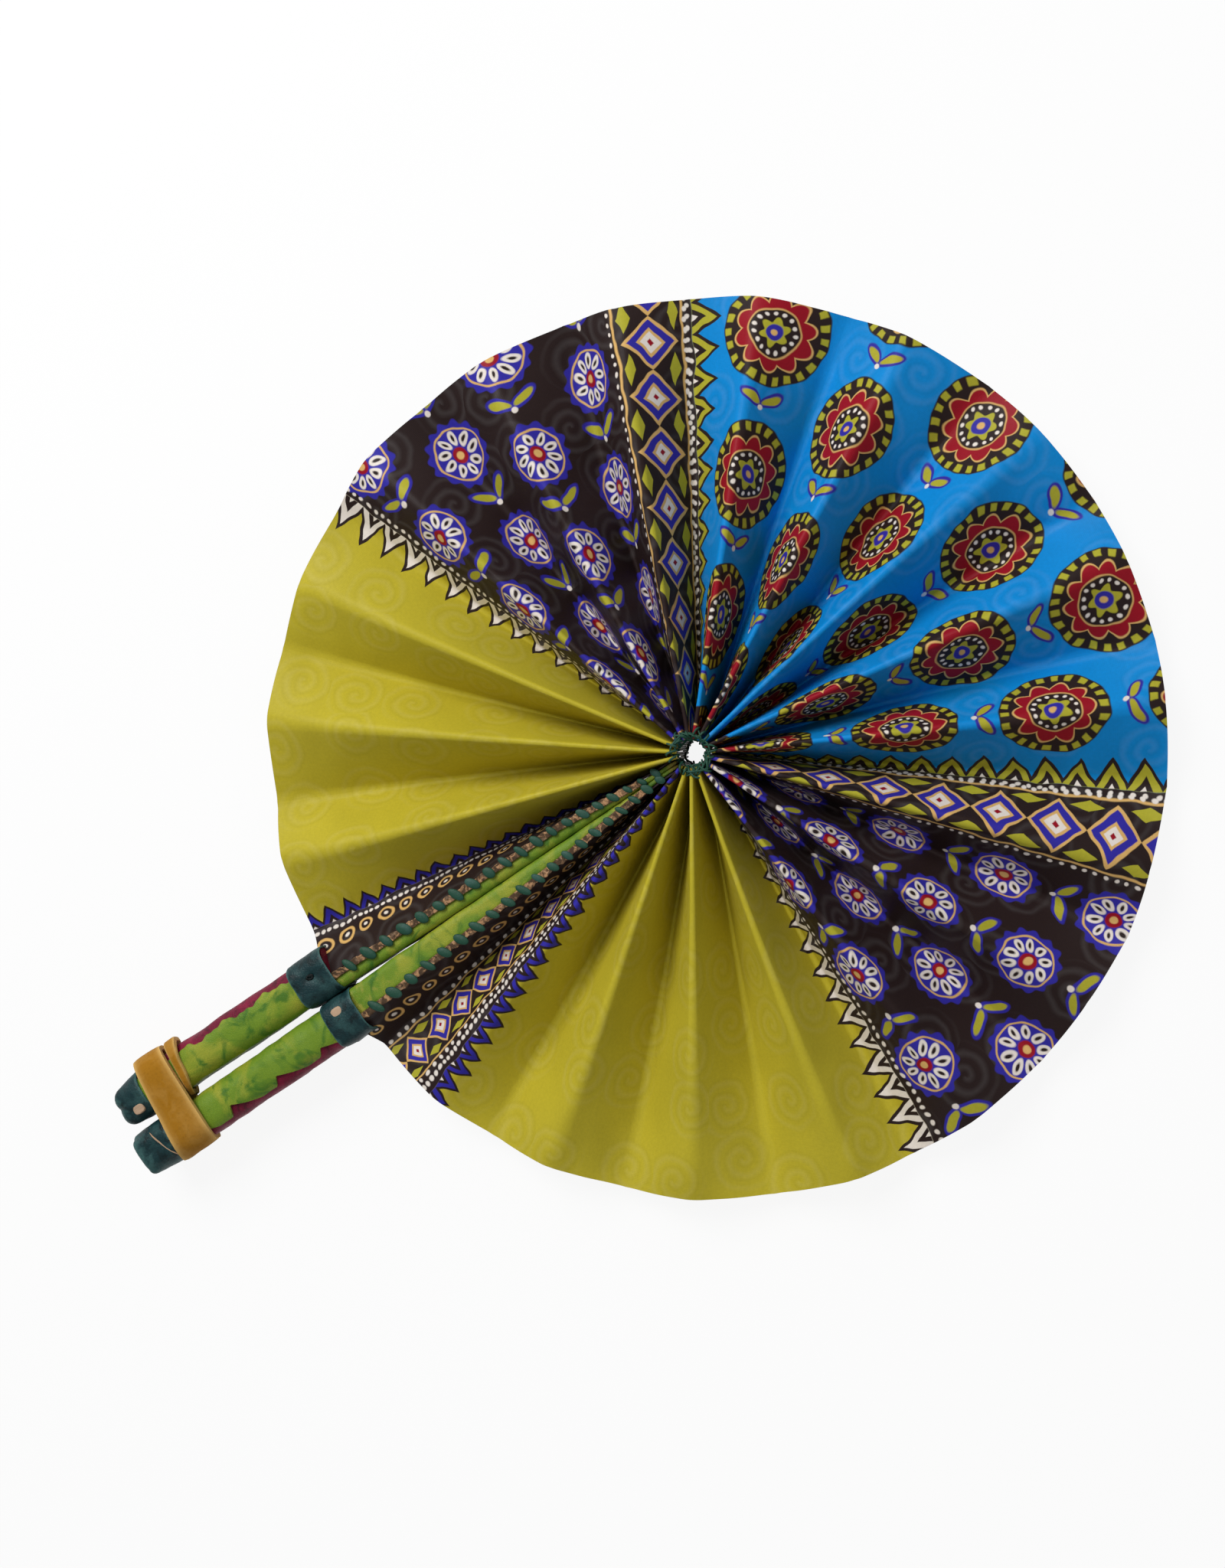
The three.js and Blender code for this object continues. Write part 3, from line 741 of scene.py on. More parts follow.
class CottonPrint(Painting):
    """Inks on a strip of cloth: u runs along the strip and v out from the hub, in millimetres."""

    def __init__(self, tree, strip, inks):
        super().__init__(tree, inks["earth"])
        self.inks = inks
        self.strip = strip
        self.u, self.v = split(tree, strip)

    def ink(self, name, mask):
        self.lay(mask, self.inks[name])

    def between(self, start, end):
        return (-self.u).below(-start) * self.u.below(end)

    def stripes(self):
        """Plain grounds, one after the other."""
        for start, ground in PRINT_STRIPES.values():
            self.ink(ground, (-self.u).below(-start))

    def spirals(self):
        """Faint spirals of a figured weave, tone on tone."""
        x, y = scattered(self.tree, self.strip, 23.0, 0.45)
        radius = radius_of(x, y)
        arm = (radius / 4.6 + angle_of(x, y) / (2 * math.pi)).reckon("FRACT")
        inside = radius.below(10.5, 1.0)
        self.lay(arm.near(0.5, 0.2, 0.16) * inside * 0.022, (1, 1, 1), "SCREEN")
        self.lay(arm.near(0.85, 0.12, 0.12) * inside * 0.05, (0, 0, 0))

    def teeth(self, place, direction, tooth, pitch, height):
        """A row of pointed teeth along a line, with beads behind them."""
        out = (self.u - place) * direction
        slope = self.v.repeat(pitch).size() * (2 * height / pitch) + out
        beyond = (-out).below(0.0)
        for ink, share in (("earth", 1.25), (tooth, 1.0), ("earth", 0.55), ("cream", 0.2)):
            self.ink(ink, beyond * slope.below(height * share))
        self.ink("cream", radius_of(out + 2.6, self.v.repeat(pitch / 3)).below(0.85))

    def leaves(self, zone, x, y, size):
        """A pair of leaves that point up and away from each other."""
        aside = x.size()
        rise = y - aside * 0.5
        self.ink("royal", zone * ellipse(aside - 0.62 * size, rise, 0.72 * size, 0.42 * size))
        self.ink("lime", zone * ellipse(aside - 0.62 * size, rise, 0.54 * size, 0.25 * size))
        self.ink("cream", zone * radius_of(x, y + 0.25 * size).below(0.16 * size))

    def motifs(self, start, end, columns, tall, turn, leaf):
        """Zone, reach and angle of motifs in half-drop columns, with leaves between them."""
        pitch = (end - start) / columns
        rise = tall * pitch
        zone = self.between(start, end)
        column = ((self.u - start) / pitch).reckon("FLOOR")
        x = (self.u - start).repeat(pitch)
        run = self.v + column.reckon("MODULO", 2.0) * (rise / 2)
        y = run.repeat(rise)
        self.leaves(zone, x, run.repeat(rise, rise / 2), leaf * pitch)
        return zone, radius_of(x, y) / pitch, angle_of(x, y) + column * turn

    def suns(self, start, end):
        """Columns of ringed suns with leaves between them."""
        zone, reach, angle = self.motifs(start, end, columns=4, tall=1.3, turn=0.3, leaf=0.24)
        self.ink("royal", zone * reach.below(angle.wave(14.0) * 0.022 + 0.40, 0.008))
        self.ink("gold", zone * reach.near(0.325, 0.012, 0.006))
        petal = angle.repeat(2 * math.pi / 9)
        along, aside = reach * petal.wave() - 0.21, reach * petal.reckon("SINE")
        self.ink("cream", zone * ellipse(along, aside, 0.09, 0.055, 0.006))
        self.ink("earth", zone * ellipse(along, aside, 0.045, 0.02, 0.006))
        self.ink("scarlet", zone * reach.below(0.10, 0.008))
        self.ink("gold", zone * reach.below(0.05, 0.008))

    def lozenges(self, start, end):
        """A chain of lozenges between two lines."""
        half = (end - start) / 2
        pitch = 1.15 * half
        zone = self.between(start, end)
        across = (self.u - (start + half)).size() / half
        along = self.v.repeat(pitch).size() * (2 / pitch)
        lozenge = across / 0.66 + along
        rings = (("gold", 1.0), ("royal", 0.84), ("gold", 0.5), ("cream", 0.36), ("scarlet", 0.12))
        for ink, share in rings:
            self.ink(ink, zone * lozenge.below(share, 0.02))
        gap = self.v.repeat(pitch, pitch / 2).size()
        between = across / 0.3 + gap * (2 / pitch)
        corner = (across - 0.55).size() / 0.14 + gap * (3.4 / pitch)
        self.ink("lime", zone * corner.below(1.0, 0.05).but(between.below(0.3)))
        self.ink("gold", zone * across.near(0.77, 0.03, 0.015))
        self.ink("cream", zone * radius_of((across - 0.9) * half, self.v.repeat(3.6)).below(0.8))

    def rosettes(self, start, end):
        """Columns of round rosettes with leaves between them."""
        zone, reach, angle = self.motifs(start, end, columns=6, tall=1.18, turn=0.5, leaf=0.15)
        lobed = reach - (angle * 5.0).reckon("SINE").size() * 0.075
        dash = angle.wave(11.0).size().below(0.72, 0.1)
        bead = radius_of(angle.repeat(2 * math.pi / 15) * 0.165, reach - 0.165)
        layers = (
            ("earth", reach.below(0.44, 0.006)),
            ("lime", reach.near(0.395, 0.032, 0.006) * dash),
            ("gold", lobed.below(0.265, 0.006)),
            ("scarlet", lobed.below(0.248, 0.006)),
            ("gold", reach.below(0.212, 0.006)),
            ("earth", reach.below(0.2, 0.006)),
            ("cream", bead.below(0.017, 0.005)),
            ("lime", reach.below(angle.wave(6.0) * 0.022 + 0.112, 0.006)),
            ("royal", reach.below(0.075, 0.006)),
            ("gold", reach.below(0.03, 0.006)),
        )
        for ink, mask in layers:
            self.ink(ink, zone * mask)

    def rings(self, place):
        """A row of small rings along a line."""
        radius = radius_of(self.u - place, self.v.repeat(8.0))
        self.ink("gold", radius.near(2.5, 0.5))
        self.ink("cream", radius.below(0.8))


def print_group(name):
    """The cloth's print: stripes of suns, lozenges and rosettes between plain grounds, and painted shade
    near the hub.
    """
    inputs = {"Strip": "Vector", **{ink.capitalize(): "Color" for ink in INKS}}
    tree, inside, result = new_group(name, inputs, {"Color": "Color"})
    strip = inside["Strip"]
    wander = {"Vector": strip, "Scale": 0.11, "Detail": 1.0}
    drift = add_node(tree, "ShaderNodeTexNoise", wander, noise_dimensions="2D").outputs["Color"]
    strip = vector_math(tree, "MULTIPLY_ADD", drift, (2.4, 2.4, 0), strip)
    cotton = CottonPrint(tree, strip, {ink: inside[ink.capitalize()] for ink in INKS})
    edge = {stripe: start for stripe, (start, _) in PRINT_STRIPES.items()}
    cotton.stripes()
    cotton.spirals()
    cotton.suns(edge["right_field"], edge["right_chain"])
    cotton.suns(edge["left_field"], edge["left_plain"])
    cotton.rosettes(edge["sky"] + SKY_MARGIN, edge["left_chain"] - SKY_MARGIN)
    cotton.lozenges(edge["right_chain"], edge["sky"])
    cotton.lozenges(edge["left_chain"], edge["left_field"])
    cotton.lozenges(*BORDER_CHAIN)
    # Painted shade: the dark earth ink over the cloth nearest the hub
    cotton.ink("earth", cotton.v.below(HUB_PAINTED_SHADE, 0.8))
    for place in BORDER_RINGS:
        cotton.rings(place)
    cotton.teeth(edge["right_field"], -1.0, "cream", 9.0, 11.0)
    cotton.teeth(edge["left_plain"], 1.0, "cream", 9.0, 11.0)
    cotton.teeth(edge["right_plain"], 1.0, "royal", 7.0, 7.0)
    cotton.teeth(edge["left_border"], -1.0, "royal", 7.0, 5.0)
    cotton.teeth(edge["sky"], 1.0, "lime", 10.0, 9.0)
    cotton.teeth(edge["left_chain"], -1.0, "lime", 10.0, 9.0)
    feed(tree, cotton.ground, result["Color"])
    return tree


def weave_group(name):
    """Threads of a plain weave and the slight mottling of a waxed cloth."""
    sockets = {"Strip": "Vector", "Pitch": "Float"}
    tree, inside, result = new_group(name, sockets, {"Height": "Float", "Shade": "Float"})
    strip = inside["Strip"]
    warp, weft = ((way / inside["Pitch"] * math.pi).reckon("SINE").size() for way in split(tree, strip))
    slub = noise(tree, strip, 0.9, 3.0, dimensions="2D")
    cloud = noise(tree, strip, 0.05, 4.0, dimensions="2D")
    feed(tree, warp * weft + slub, result["Height"])
    feed(tree, cloud * 0.22 + slub * 0.16 + 0.81, result["Shade"])
    return tree


def clouds_group(name):
    """Clouds of three dyes with flecks of the darkest."""
    sockets = {"Vector": "Vector", "Scale": "Float", "Base": "Color", "Light": "Color", "Dark": "Color"}
    tree, inside, result = new_group(name, sockets, {"Color": "Color"})
    place, scale = inside["Vector"], Field(tree, inside["Scale"])
    broad = noise(tree, place, scale, 3.0, 0.8).above(0.47, 7.0)
    patch = noise(tree, place, scale * 1.7, 4.0, 1.4).above(0.52, 7.0)
    fleck = noise(tree, place, scale * 9.0, 3.0).above(0.6, 7.0)
    painting = Painting(tree, inside["Base"])
    painting.lay(broad * 0.9, inside["Light"])
    painting.lay(patch * 0.9, inside["Dark"])
    painting.lay(fleck * 0.35, inside["Dark"])
    feed(tree, painting.ground, result["Color"])
    return tree


def grain_group(name):
    """Leather grain: small pebbles with creases between them, and broad dents."""
    sockets = {"Vector": "Vector", "Scale": "Float"}
    tree, inside, result = new_group(name, sockets, {"Height": "Float", "Crease": "Float"})
    place, scale = inside["Vector"], Field(tree, inside["Scale"])
    inputs = {"Vector": place, "Scale": scale}
    pebble = add_node(tree, "ShaderNodeTexVoronoi", inputs, feature="DISTANCE_TO_EDGE")
    edge = Field(tree, pebble.outputs["Distance"])
    dent = noise(tree, place, scale * 0.12, 3.0)
    feed(tree, edge.reckon("MINIMUM", 0.25) * 2.0 + dent * 1.5, result["Height"])
    feed(tree, edge.below(0.08, 0.08), result["Crease"])
    return tree


def group_outputs(tree, name, build, values):
    """Outputs of a placed group, which is built when it is first asked for."""
    group = bpy.data.node_groups.get(name) or build(name)
    return add_node(tree, "ShaderNodeGroup", values, node_tree=group).outputs


class Dressing(Painting):
    """A new material: its painted colour, its tree and its shader."""

    def __init__(self, name, roughness, ground=None):
        self.material = bpy.data.materials.new(name)
        self.material.use_nodes = True
        super().__init__(self.material.node_tree, ground)
        self.shader = self.tree.nodes["Principled BSDF"]
        self.write({"Roughness": roughness})

    def write(self, values):
        for name, value in values.items():
            feed(self.tree, value, self.shader.inputs[name])

    def place(self):
        return add_node(self.tree, "ShaderNodeTexCoord").outputs["Object"]

    def mark(self, name):
        """A mark of the piece, as its mesh holds it."""
        node = add_node(self.tree, "ShaderNodeAttribute", attribute_name=name)
        return Field(self.tree, node.outputs["Fac"])

    def finish(self, roughness, height, strength, depth, **others):
        """The material, with its colour, roughness and bumps linked."""
        relief = {"Height": height, "Strength": strength, "Distance": depth}
        normal = add_node(self.tree, "ShaderNodeBump", relief).outputs[0]
        self.write({"Base Color": self.ground, "Roughness": roughness, "Normal": normal})
        self.write({name.replace("_", " "): value for name, value in others.items()})
        return self.material


def cotton_material(inks):
    """Waxed cotton with the print."""
    if "waxed_cotton" in bpy.data.materials:
        return bpy.data.materials["waxed_cotton"]
    cloth = Dressing("waxed_cotton", 0.5)
    tree = cloth.tree
    strip = add_node(tree, "ShaderNodeUVMap", uv_map="strip").outputs[0]
    values = {ink.capitalize(): getattr(inks, ink) for ink in INKS}
    cloth.ground = group_outputs(tree, "cotton_print_and_hub_shade", print_group, {"Strip": strip, **values})["Color"]
    weave = group_outputs(tree, "cotton_weave", weave_group, {"Strip": strip, "Pitch": 0.55})
    cloth.lay(1.0, weave["Shade"], "MULTIPLY")
    gloss = Field(tree, weave["Shade"]) * -0.4 + 0.86
    return cloth.finish(gloss, weave["Height"], 0.12, 0.0002, Specular_IOR_Level=0.12)


def darker(ink, by):
    return tuple(value * by for value in ink)


def mixed(first, second, share):
    return tuple((1 - share) * a + share * b for a, b in zip(first, second))


# Leathers by their dye: name, scale of the clouds in the dye, scale of the grain, and roughness
LEATHERS = {
    "green": ("mottled_green_leather", 62.0, 1500.0, 0.5),
    "teal": ("rubbed_teal_leather", 90.0, 900.0, 0.5),
    "crimson": ("soft_crimson_leather", 110.0, 1300.0, 0.6),
    "tan": ("tan_welt_leather", 480.0, 2400.0, 0.75),
    # The knot's near-black leather is painted shade: it stands for the dark of a small pit in the collar
    "black": ("black_knot_leather", 90.0, 900.0, 0.6),
}


def leather_inks(dye, leather):
    """Base, light, dark and worn ink of a leather."""
    teal, crimson, tan = leather.teal, leather.crimson, leather.tan
    # Near-black for the knot: painted shade of a small pit
    black = darker(teal, 0.12)
    pale = mixed(leather.green_light, leather.suede_edge, 0.5)
    return {
        "green": (leather.green, leather.green_light, leather.green_dark, pale),
        "teal": (teal, mixed(teal, leather.teal_worn, 0.4), darker(teal, 0.35), leather.teal_worn),
        "crimson": (crimson, darker(crimson, 1.5), darker(crimson, 0.45), darker(crimson, 2.2)),
        "tan": (darker(tan, 0.14), tan, darker(tan, 0.08), leather.wood),
        "black": (black, black, black, leather.teal_worn),
    }[dye]


def leather_material(dye, leather):
    """Dyed leather with clouds in its dye, grain, and wear where the piece is marked."""
    name, cloud_scale, grain_scale, roughness = LEATHERS[dye]
    if name in bpy.data.materials:
        return bpy.data.materials[name]
    base, light, dark, worn = leather_inks(dye, leather)
    hide = Dressing(name, roughness)
    tree, place = hide.tree, hide.place()
    clouds = {"Vector": place, "Scale": cloud_scale, "Base": base, "Light": light, "Dark": dark}
    hide.ground = group_outputs(tree, "dye_clouds", clouds_group, clouds)["Color"]
    values = {"Vector": place, "Scale": grain_scale}
    grain = group_outputs(tree, "leather_grain", grain_group, values)
    scuff = noise(tree, place, 420.0, 4.0)
    wear = (hide.mark("wear") + scuff * 0.9).above(0.95, 3.0)
    hide.lay(Field(tree, grain["Crease"]) * 0.25, dark)
    hide.lay(wear * 0.8, worn)
    gloss = scuff * 0.25 + (roughness - 0.12)
    return hide.finish(gloss, grain["Height"], 0.35, 0.0003, Specular_IOR_Level=0.3)


def suede_material(leather):
    """Suede with a brushed nap, and paler where it was cut."""
    if "brushed_suede" in bpy.data.materials:
        return bpy.data.materials["brushed_suede"]
    suede = Dressing("brushed_suede", 0.92, leather.suede)
    place = suede.place()
    nap = noise(suede.tree, place, 900.0, 5.0)
    brush = noise(suede.tree, place, 120.0, 3.0, 1.0)
    suede.lay(brush.above(0.45, 3.0) * 0.25, leather.suede_edge)
    suede.lay(nap.above(0.5, 4.0) * 0.35, darker(leather.suede, 0.6))
    suede.lay(suede.mark("cut") * 0.85, leather.suede_edge)
    return suede.finish(nap * 0.1 + 0.86, nap, 0.35, 0.0004, Sheen_Weight=0.06, Specular_IOR_Level=0.15)


def thread_material(leather):
    """Waxed thread with a light twist."""
    if "waxed_thread" in bpy.data.materials:
        return bpy.data.materials["waxed_thread"]
    thread = Dressing("waxed_thread", 0.6, leather.thread)
    place = thread.place()
    fibre = noise(thread.tree, place, 1600.0, 3.0, 0.6)
    tone = noise(thread.tree, place, 150.0, 2.0)
    thread.lay(fibre * 0.45, darker(leather.thread, 0.35))
    thread.lay(tone.above(0.55, 2.0), leather.teal_worn)
    return thread.finish(fibre * 0.2 + 0.5, fibre, 0.4, 0.0003)


def wood_material(name, ink):
    """Pale wood with rings stretched along the stick."""
    if name in bpy.data.materials:
        return bpy.data.materials[name]
    wood = Dressing(name, 0.65, ink)
    stretch = {"Vector": wood.place(), "Scale": (1.0, 0.12, 1.0)}
    place = add_node(wood.tree, "ShaderNodeMapping", stretch).outputs[0]
    ring = noise(wood.tree, place, 700.0, 4.0, 0.5)
    wood.lay(ring.above(0.45, 4.0) * 0.5, darker(ink, 0.55))
    return wood.finish(ring * 0.2 + 0.55, ring, 0.2, 0.0002)


# Sticks

CORNER_STEPS = 6
SIDE_STEPS = 8

# Soft waves in leather and suede: height, wavelength and first seed
WAVES = {
    "spine": (0.16, 15, 20),
    "lining": (0.2, 9, 30),
    "collar": (0.22, 8, 40),
    "cap": (0.22, 8, 50),
    "strap": (0.22, 14, 90),
}

# Where the inner sides of the two spines part
SPINE_PARTING = (92, 145)

# The welt: its start, its reach in and out of the spine's edge, its half thickness and its rise
WELT_START = 20
WELT_INSIDE = 1.7
WELT_OUTSIDE = 0.7
WELT_HALF = 0.42
WELT_RISE = 0.55


def section_ring(distance, x0, x1, half, corner):
    """A rectangle with round corners across a stick, with points along its sides."""
    corner = max(0.15, min(corner, (x1 - x0) / 2 - 0.1, half - 0.1))
    turn = np.linspace(0, np.pi / 2, CORNER_STEPS + 1)
    right, left, top = x1 - corner, x0 + corner, half - corner
    arcs = []
    for quarter, (x, z) in enumerate(((right, top), (left, top), (left, -top), (right, -top))):
        angle = turn + quarter * np.pi / 2
        arcs.append(np.stack([x + corner * np.cos(angle), z + corner * np.sin(angle)], 1))
    outline = []
    for arc, following in zip(arcs, arcs[1:] + arcs[:1]):
        outline += [arc, np.linspace(arc[-1], following[0], SIDE_STEPS + 1)[1:-1]]
    return np.insert(np.vstack(outline), 1, -distance, axis=1)


def inset(section, by):
    """A section drawn in on all sides."""
    x0, x1, half, corner = section
    return x0 + by, x1 - by, half - by, corner - by


def drawn_out(points, middle):
    """Directions out of the middle of a stick."""
    return unit((points - middle) * (1, 0, 1))


def puckered(rings, kind, number):
    """Rings across a stick, moved out of and into it by soft waves."""
    rings = np.asarray(rings, float)
    height, wavelength, seed = WAVES[kind]
    out = drawn_out(rings, rings.mean(axis=1, keepdims=True))
    return rings + out * (height * ripple(rings, wavelength, seed + number))[..., None]


def on_rings(values, rings):
    """One value per ring, as one per point."""
    return np.repeat(values, len(rings[0]))


def stick_piece(side, part, body, material, slot, *nodes, wear=None, sharp=50):
    """A piece on a stick in place of the stick's CAD nodes, worn where its points say."""
    stick = SIDE_NAMES[side]
    points, faces = body
    marks = {} if wear is None else {"wear": np.broadcast_to(wear, len(points))}
    piece = add_piece(f"{stick}_{part}", on_stick(points, side), faces, material, sharp=sharp, marks=marks)
    return settle(piece, f"{stick}_stick", slot, *(f"{stick}_{node}" for node in nodes))


def leather_piece(side, part, dye, leather, body, node, wear, sharp=50):
    """A piece of dyed leather on a stick."""
    material = leather_material(dye, leather)
    return stick_piece(
        side, f"{part}_leather", body, material, f"{dye}_leather", node, wear=wear, sharp=sharp
    )


def spine_pieces(side, leather):
    """The green sleeve round the blade of a stick, and the tan welt under its stitches."""
    tip = np.array((0, 0.5, 1.4, 3.0))
    distances = np.concatenate([SPINE_TIP + tip, np.linspace(SPINE_TIP + 5, GRIP_START, 62)])
    shrink = np.interp(distances - SPINE_TIP, tip, (1.6, 0.8, 0.25, 0))
    rings = []
    for distance, less in zip(distances, shrink):
        face = max(float(spine_face(distance, side)), SPINE_LEAST)
        closed = 0.06 - distance * math.sin(math.radians(SPLAY))
        seam = np.interp(distance, SPINE_PARTING, (closed, 0.1))
        rings.append(section_ring(distance, seam + 0.2 * less, face - 0.2 * less, SPINE_HALF - less, 2.4))
    rings = puckered(rings, "spine", side)
    wear = np.interp(distances, (SPINE_TIP, SPINE_TIP + 6, 120, GRIP_START), (0.9, 0.35, 0.3, 0.6))
    leather_piece(side, "spine", "green", leather, loft(rings), "spine_sleeve", on_rings(wear, rings))
    rings = []
    for distance in np.linspace(WELT_START, COLLAR_SPAN[side][0] + 1.5, 90):
        face = float(spine_face(distance, side))
        flutter = 0.25 * math.sin(distance * 0.8 + side) + 0.15 * math.sin(distance * 1.9)
        inner, outer = max(face - WELT_INSIDE, 0.35), face + WELT_OUTSIDE + flutter
        ring = section_ring(distance, inner, outer, WELT_HALF, 0.35)
        rings.append(ring + (0, 0, SPINE_HALF + WELT_RISE))
    welt = leather_piece(side, "welt", "tan", leather, loft(rings), "welt", 0.45)
    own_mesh(welt)


WAVY_EDGE = 12.9
NOTCHED_EDGE = 14.3
FIRST_NOTCH = LEAF_RADIUS + 14.5
NOTCH_COUNT = 5
NOTCH_SEED = 35


def scallop_edge(distances, side, leather):
    """How far a grip's green wrap reaches: pointed notches on the right stick, soft waves on the left."""
    pitch, depth = leather.scallop_pitch / MM, leather.scallop_depth / MM
    if side == LEFT:
        turn = 2 * np.pi * distances / pitch
        waves = 0.2 * np.cos(turn) + 0.12 * np.cos(2.3 * turn + 1) + 0.06 * np.cos(5.1 * turn)
        return WAVY_EDGE + depth * waves
    draw = np.random.default_rng(NOTCH_SEED)
    tips = FIRST_NOTCH + pitch * (np.arange(NOTCH_COUNT) + draw.uniform(-0.06, 0.06, NOTCH_COUNT))
    depths = depth * draw.uniform(0.8, 1.15, NOTCH_COUNT)
    before = distances[:, None] - tips
    notches = 1 - np.where(before < 0, -before / (0.62 * pitch), before / (0.14 * pitch))
    return NOTCHED_EDGE - (depths * np.clip(notches, 0, 1) ** 1.4).max(axis=1)


def channel_path(section, edge, count):
    """The open part of a section that ends at an edge on its top and its bottom."""
    ring = section_ring(0, *section)[:, [0, 2]]
    ring = ring[: len(ring) - SIDE_STEPS + 1]
    arc = np.concatenate([[0], np.cumsum(np.linalg.norm(np.diff(ring, axis=0), axis=1))])
    half = len(ring) // 2
    start = np.interp(-edge, -ring[:half, 0], arc[:half])
    end = np.interp(edge, ring[half:, 0], arc[half:])
    along = np.linspace(start, end, count)
    return np.stack([np.interp(along, arc, ring[:, 0]), np.interp(along, arc, ring[:, 1])], 1)


WRAP_COLUMNS = 46
WRAP_ROWS = 130
WRAP_THICKNESS = 1.0
WRAP_SEED = 35


def grip_pieces(side, leather):
    """The crimson lining of a grip, and the green wrap round it."""
    x0, x1, half, corner = inset(WRAP, 1.1)
    distances = np.linspace(LINING_START[side], WRAP_END, 40)
    rings = [section_ring(d, x0, x1 + 1.15, half, corner + 0.6) for d in distances]
    body = loft(puckered(rings, "lining", side))
    leather_piece(side, "lining", "crimson", leather, body, "lining", 0.3)
    distances = np.linspace(GRIP_START, WRAP_END, WRAP_ROWS)
    edges = scallop_edge(distances, side, leather)
    grids = []
    for section, back in ((WRAP, 0.0), (inset(WRAP, WRAP_THICKNESS), 0.15)):
        rows = []
        for distance, edge in zip(distances, edges):
            path = channel_path(section, edge - back, WRAP_COLUMNS)
            rows.append(np.insert(path, 1, -distance, axis=1))
        grids.append(np.array(rows))
    seed = WRAP_SEED + side
    swell = 0.22 * ripple(grids[0], 24, seed) + 0.10 * ripple(grids[0], 9, seed + 1)
    middle = np.array([(WRAP[0] + WRAP[1]) / 2, 0, 0])
    body = grid_shell(*(grid + drawn_out(grid, middle) * swell[..., None] for grid in grids))
    columns = np.arange(WRAP_COLUMNS)
    wear = np.tile(np.where(np.minimum(columns, columns[::-1]) < 1, 0.0, 0.3), 2 * WRAP_ROWS)
    leather_piece(side, "grip", "green", leather, body, "grip_wrap", wear)


def section_height(section, across):
    """Height of a section's top at places across it."""
    x0, x1, half, corner = section
    past = np.maximum(np.abs(across - (x0 + x1) / 2) - (x1 - x0) / 2 + corner, 0)
    return half - corner + np.sqrt(np.maximum(corner**2 - past**2, 0))


# The dimple round the knot: its depth, and its spread across and along the collar
DIMPLE_DEPTH = 0.9
DIMPLE_SPREAD = (1.5, 2.3)
KNOT_RADIUS = 0.36
KNOT_TURNS = 2.25


def collar_piece(side, leather):
    """The teal band where a grip meets the leaf, dimpled where a knot is drawn into the left one."""
    start, end = COLLAR_SPAN[side]
    along = np.linspace(0.04, 0.96, 16)
    outside = [(start + t * (end - start), 0.0) for t in along]
    inside = [(end - 0.1, BAND_WALL), (start + 0.1, BAND_WALL)]
    stations = [(start, 0.35), *outside, (end, 0.35), *inside]
    wear = np.array([1.0, *np.interp(along, (0, 0.15, 0.85, 1), (0.7, 0.3, 0.3, 0.7)), 1.0, 0.6, 0.6])
    rings = [section_ring(distance, *inset(COLLAR, by)) for distance, by in stations]
    rings = puckered(rings, "collar", side)
    if side == LEFT:
        across, place = COLLAR_KNOT
        wide, long = DIMPLE_SPREAD
        away = np.hypot((rings[..., 0] - across) / wide, (rings[..., 1] + place) / long)
        rings[..., 2] -= np.where(rings[..., 2] > 0, DIMPLE_DEPTH * np.exp(-(away**2)), 0)
    body = loft(rings, looped=True)
    leather_piece(side, "collar", "teal", leather, body, "collar", on_rings(wear, rings))


def collar_knot(leather):
    """The knot in the dimple of the left collar, in near-black leather that is painted shade of a small pit.
    """
    across, place = COLLAR_KNOT
    turn = np.linspace(0, KNOT_TURNS * 2 * np.pi, 46)
    reach = 0.55 + 0.2 * np.sin(2.3 * turn)
    height = section_height(COLLAR, across) - 0.55 + 0.25 * np.sin(1.5 * turn)
    path = np.stack([across + reach * np.cos(turn), 2.2 * reach * np.sin(turn) - place, height], 1)
    black = leather_material("black", leather)
    stick_piece(LEFT, "collar_knot", tube(path, KNOT_RADIUS), black, "teal_leather", sharp=80)


# How far each cap draws in towards its end: on its inner side, on its outer side and on its top
CAP_TAPER = {RIGHT: (0.3, 0.8, 0.8), LEFT: (0.4, 3.6, 1.0)}
CAP_ROUNDING = {RIGHT: 1.8, LEFT: 3.0}
CAP_FOLDS = 5
CAP_FOLD_DEPTH = 1.1
CAP_FLATTENING = 3.4


def cap_section(distance, side, by=0.0):
    """Section of a cap at a distance: a taper, and a round fold at its end."""
    end = CAP_END[side]
    along = min(max((distance - CAP_START) / (end - CAP_START), 0.0), 1.0)
    rounding = CAP_ROUNDING[side]
    fold = min(max((distance - end) / rounding + 1, 0.0), 1.0)
    x0, x1, half, corner = inset(BAND, by + rounding * (1 - math.sqrt(1 - fold**2)))
    inner, outer, top = (taper * along**1.3 for taper in CAP_TAPER[side])
    return x0 + inner, x1 - outer, half - top, corner - CAP_FLATTENING * along


